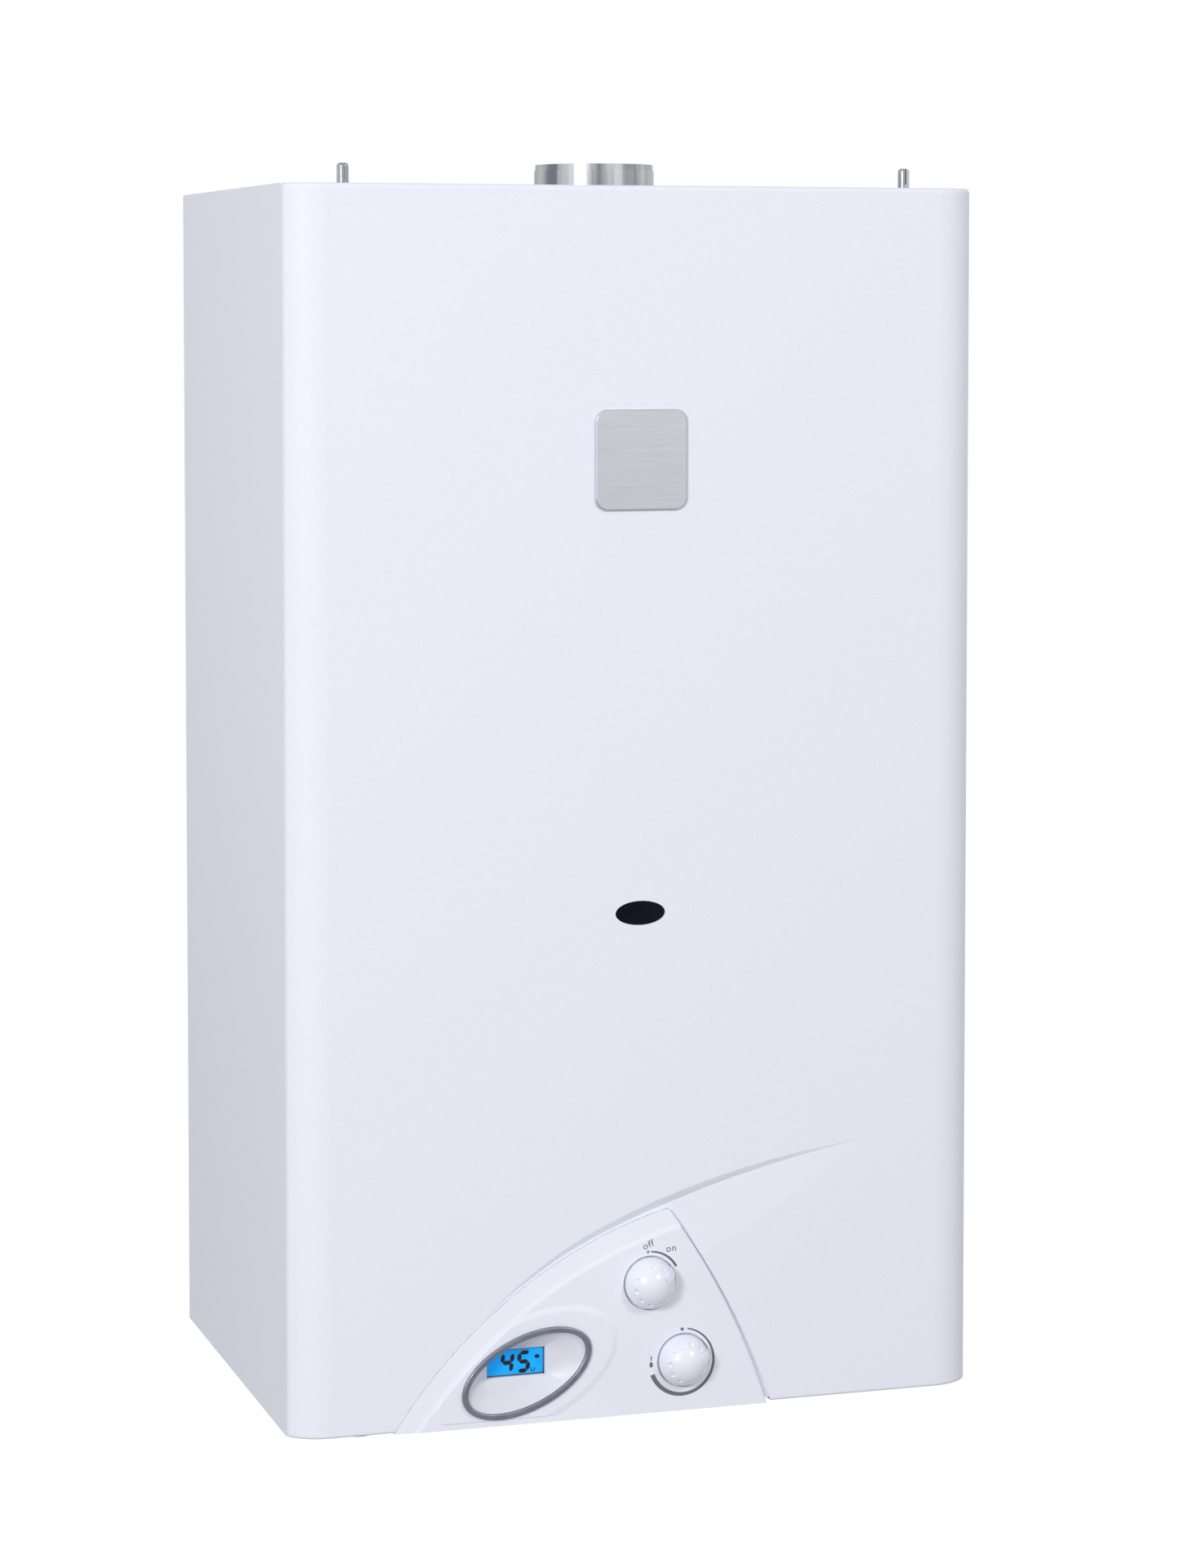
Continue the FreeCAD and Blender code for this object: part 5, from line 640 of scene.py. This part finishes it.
def turned_mesh(name, rings, centre):
    """A closed form turned round an upright axis, from rings of (height, radius function)."""
    form = bmesh.new()
    loops = []
    for height, radius in rings:
        loop = []
        for index in range(RING_STEPS):
            angle = 2 * math.pi * index / RING_STEPS
            reach = radius(angle, height)
            x = centre[0] + reach * math.cos(angle)
            y = centre[1] + reach * math.sin(angle)
            loop.append(form.verts.new((x, y, height)))
        loops.append(loop)
    for lower, upper in zip(loops, loops[1:] + loops[:1]):
        for index in range(RING_STEPS):
            after = (index + 1) % RING_STEPS
            form.faces.new((lower[index], lower[after], upper[after], upper[index]))
    bmesh.ops.recalc_face_normals(form, faces=form.faces)
    for face in form.faces:
        face.smooth = True
    for edge in form.edges:
        edge.smooth = edge.calc_face_angle(0.0) < math.radians(SHARP_ANGLE)
    mesh = bpy.data.meshes.new(name)
    form.to_mesh(mesh)
    form.free()
    return mesh


def connector_centres():
    """The pipe connectors' axes, from the record's mounts."""
    names = ("hot_outlet", "gas_inlet", "cold_inlet")
    return [mount["pos_m"][:2] for mount in frame["record"]["mounts"] if mount["name"] in names]


def thread_connectors():
    """Threaded connectors with a hexagonal collar and a pipe socket, in place of the plain ones."""
    bottom, top = (corner.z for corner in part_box("pipe_connectors"))
    nut_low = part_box("connector_nuts")[0].z
    collar_low = CASE_BOTTOM + COLLAR_RISE
    socket_low = collar_low + COLLAR_HEIGHT
    seat = collar_low + SEAT_RISE
    rows = int((nut_low - bottom) / THREAD_PITCH * THREAD_ROWS)
    thread = thread_radius(bottom, nut_low)
    collar = chamfered_hexagon(COLLAR_ACROSS, collar_low, socket_low)
    bore = round_radius(BORE_RADIUS)
    neck = round_radius(NECK_RADIUS)
    socket = round_radius(SOCKET_RADIUS)
    outside = round_radius(SOCKET_OUTSIDE)
    rings = [(seat, bore), (bottom + MOUTH_DEPTH, bore), (bottom, round_radius(MOUTH_RADIUS))]
    rings += [(bottom + (nut_low - bottom) * row / rows, thread) for row in range(rows + 1)]
    rings += [(nut_low, neck), (collar_low, neck)]
    rings += [(collar_low + COLLAR_HEIGHT * row / COLLAR_ROWS, collar) for row in range(COLLAR_ROWS + 1)]
    rings += [(socket_low, outside), (top, outside), (top, socket), (seat, socket)]
    for index, centre in enumerate(connector_centres()):
        mesh = turned_mesh("threaded_connector", rings, centre)
        piece = add_piece(f"threaded_connector_{index + 1}", mesh, MATERIALS["brass"])
        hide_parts("pipe_connectors")


def chamfer_nuts():
    """Lock nuts with turned-off corners, in place of the plain hexagons."""
    low, high = (corner.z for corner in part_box("connector_nuts"))
    outline = chamfered_hexagon(NUT_ACROSS, low, high)
    bore = round_radius(NUT_BORE)
    rings = [(high, bore), (low, bore)]
    rings += [(low + (high - low) * row / NUT_ROWS, outline) for row in range(NUT_ROWS + 1)]
    for index, centre in enumerate(connector_centres()):
        mesh = turned_mesh("lock_nut", rings, centre)
        piece = add_piece(f"lock_nut_{index + 1}", mesh, MATERIALS["brass"])
        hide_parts("connector_nuts")


def coil_mesh(name, centre, radius, wire, low, high):
    """A round wire wound up an axis, closed at both ends."""
    form = bmesh.new()
    loops = []
    for step in range(SPRING_TURNS * TURN_STEPS + 1):
        angle = 2 * math.pi * step / TURN_STEPS
        height = low + (high - low) * step / (SPRING_TURNS * TURN_STEPS)
        loop = []
        for index in range(WIRE_STEPS):
            turn = 2 * math.pi * index / WIRE_STEPS
            reach = radius + wire * math.cos(turn)
            x = centre[0] + reach * math.cos(angle)
            y = centre[1] + reach * math.sin(angle)
            loop.append(form.verts.new((x, y, height + wire * math.sin(turn))))
        loops.append(loop)
    for lower, upper in zip(loops, loops[1:]):
        for index in range(WIRE_STEPS):
            after = (index + 1) % WIRE_STEPS
            face = form.faces.new((lower[index], lower[after], upper[after], upper[index]))
            face.smooth = True
    form.faces.new(loops[0])
    form.faces.new(loops[-1])
    bmesh.ops.recalc_face_normals(form, faces=form.faces)
    mesh = bpy.data.meshes.new(name)
    form.to_mesh(mesh)
    form.free()
    return mesh


def wind_spring():
    """A wound valve spring, in place of the stiff one."""
    low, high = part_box("valve_spring")
    middle = (low + high) / 2
    wire = SPRING_WIRE / 2
    radius = (high.x - low.x) / 2 - wire
    mesh = coil_mesh("wound_spring", (middle.x, middle.y), radius, wire, low.z + wire, high.z - wire)
    piece = add_piece("wound_spring", mesh, MATERIALS["spring_steel"])
    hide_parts("valve_spring")
    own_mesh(piece)


# Stage
def set_world():
    """White for what the camera and reflections see, and an even pale light on the object."""
    world = bpy.data.worlds.new("studio")
    world.use_nodes = True
    bpy.context.scene.world = world
    nodes = world.node_tree.nodes
    links = world.node_tree.links
    light = nodes["Background"]
    light.inputs["Color"].default_value = (1.0, 1.0, 1.0, 1.0)
    light.inputs["Strength"].default_value = AMBIENT
    seen = nodes.new("ShaderNodeBackground")
    seen.inputs["Strength"].default_value = 1.0
    seen.inputs["Color"].default_value = (1.0, 1.0, 1.0, 1.0)
    rays = nodes.new("ShaderNodeLightPath")
    either = nodes.new("ShaderNodeMath")
    either.operation = "MAXIMUM"
    any_ray = nodes.new("ShaderNodeMath")
    any_ray.operation = "MAXIMUM"
    mix = nodes.new("ShaderNodeMixShader")
    links.new(rays.outputs["Is Camera Ray"], either.inputs[0])
    links.new(rays.outputs["Is Glossy Ray"], either.inputs[1])
    links.new(either.outputs["Value"], any_ray.inputs[0])
    links.new(rays.outputs["Is Transmission Ray"], any_ray.inputs[1])
    links.new(any_ray.outputs["Value"], mix.inputs["Fac"])
    links.new(light.outputs["Background"], mix.inputs[1])
    links.new(seen.outputs["Background"], mix.inputs[2])
    links.new(mix.outputs["Shader"], nodes["World Output"].inputs["Surface"])


def add_floor():
    """A wide pale floor far below, which the camera sees as white but for shadows."""
    form = bmesh.new()
    bmesh.ops.create_grid(form, x_segments=FLOOR_CELLS, y_segments=FLOOR_CELLS, size=FLOOR_HALF)
    mesh = bpy.data.meshes.new("floor")
    form.to_mesh(mesh)
    form.free()
    floor = bpy.data.objects.new("floor", mesh)
    floor.location.z = FLOOR_LEVEL
    bpy.context.scene.collection.objects.link(floor)
    material = make_surface("floor", (0.55, 0.55, 0.56), 0.9)
    nodes = material.node_tree.nodes
    links = material.node_tree.links
    rays = nodes.new("ShaderNodeLightPath")
    glow = nodes.new("ShaderNodeEmission")
    both = nodes.new("ShaderNodeAddShader")
    lift = nodes.new("ShaderNodeMath")
    lift.operation = "MULTIPLY"
    lift.inputs[1].default_value = FLOOR_LIFT
    links.new(rays.outputs["Is Camera Ray"], lift.inputs[0])
    links.new(lift.outputs["Value"], glow.inputs["Strength"])
    links.new(shader_of(material).outputs["BSDF"], both.inputs[0])
    links.new(glow.outputs["Emission"], both.inputs[1])
    links.new(both.outputs["Shader"], nodes["Material Output"].inputs["Surface"])
    mesh.materials.append(material)


def add_lamp(name, place, size, power):
    """A soft square lamp that points at the middle of the heater."""
    lamp = bpy.data.lights.new(name, "AREA")
    lamp.size = size
    lamp.energy = power
    holder = bpy.data.objects.new(name, lamp)
    holder.location = place
    middle = (Vector(CAD_BOX[0]) + Vector(CAD_BOX[1])) / 2
    holder.rotation_euler = (middle - Vector(place)).to_track_quat("-Z", "Y").to_euler()
    bpy.context.scene.collection.objects.link(holder)


def add_camera():
    lens = bpy.data.cameras.new("camera")
    lens.lens = CAMERA_LENS
    lens.shift_x, lens.shift_y = CAMERA_SHIFT
    camera = bpy.data.objects.new("camera", lens)
    camera.location = CAMERA_PLACE
    camera.rotation_euler = (math.radians(90 - CAMERA_PITCH), 0, math.radians(-CAMERA_YAW))
    bpy.context.scene.collection.objects.link(camera)
    bpy.context.scene.camera = camera


add_camera()
print_power_scale()
print_temperature_scale()
fill_display()
thread_connectors()
chamfer_nuts()
wind_spring()
set_world()
add_floor()
add_lamp("key_lamp", KEY_PLACE, KEY_SIZE, KEY_POWER)
add_lamp("fill_lamp", FILL_PLACE, FILL_SIZE, FILL_POWER)
bpy.context.scene.view_settings.view_transform = "Standard"
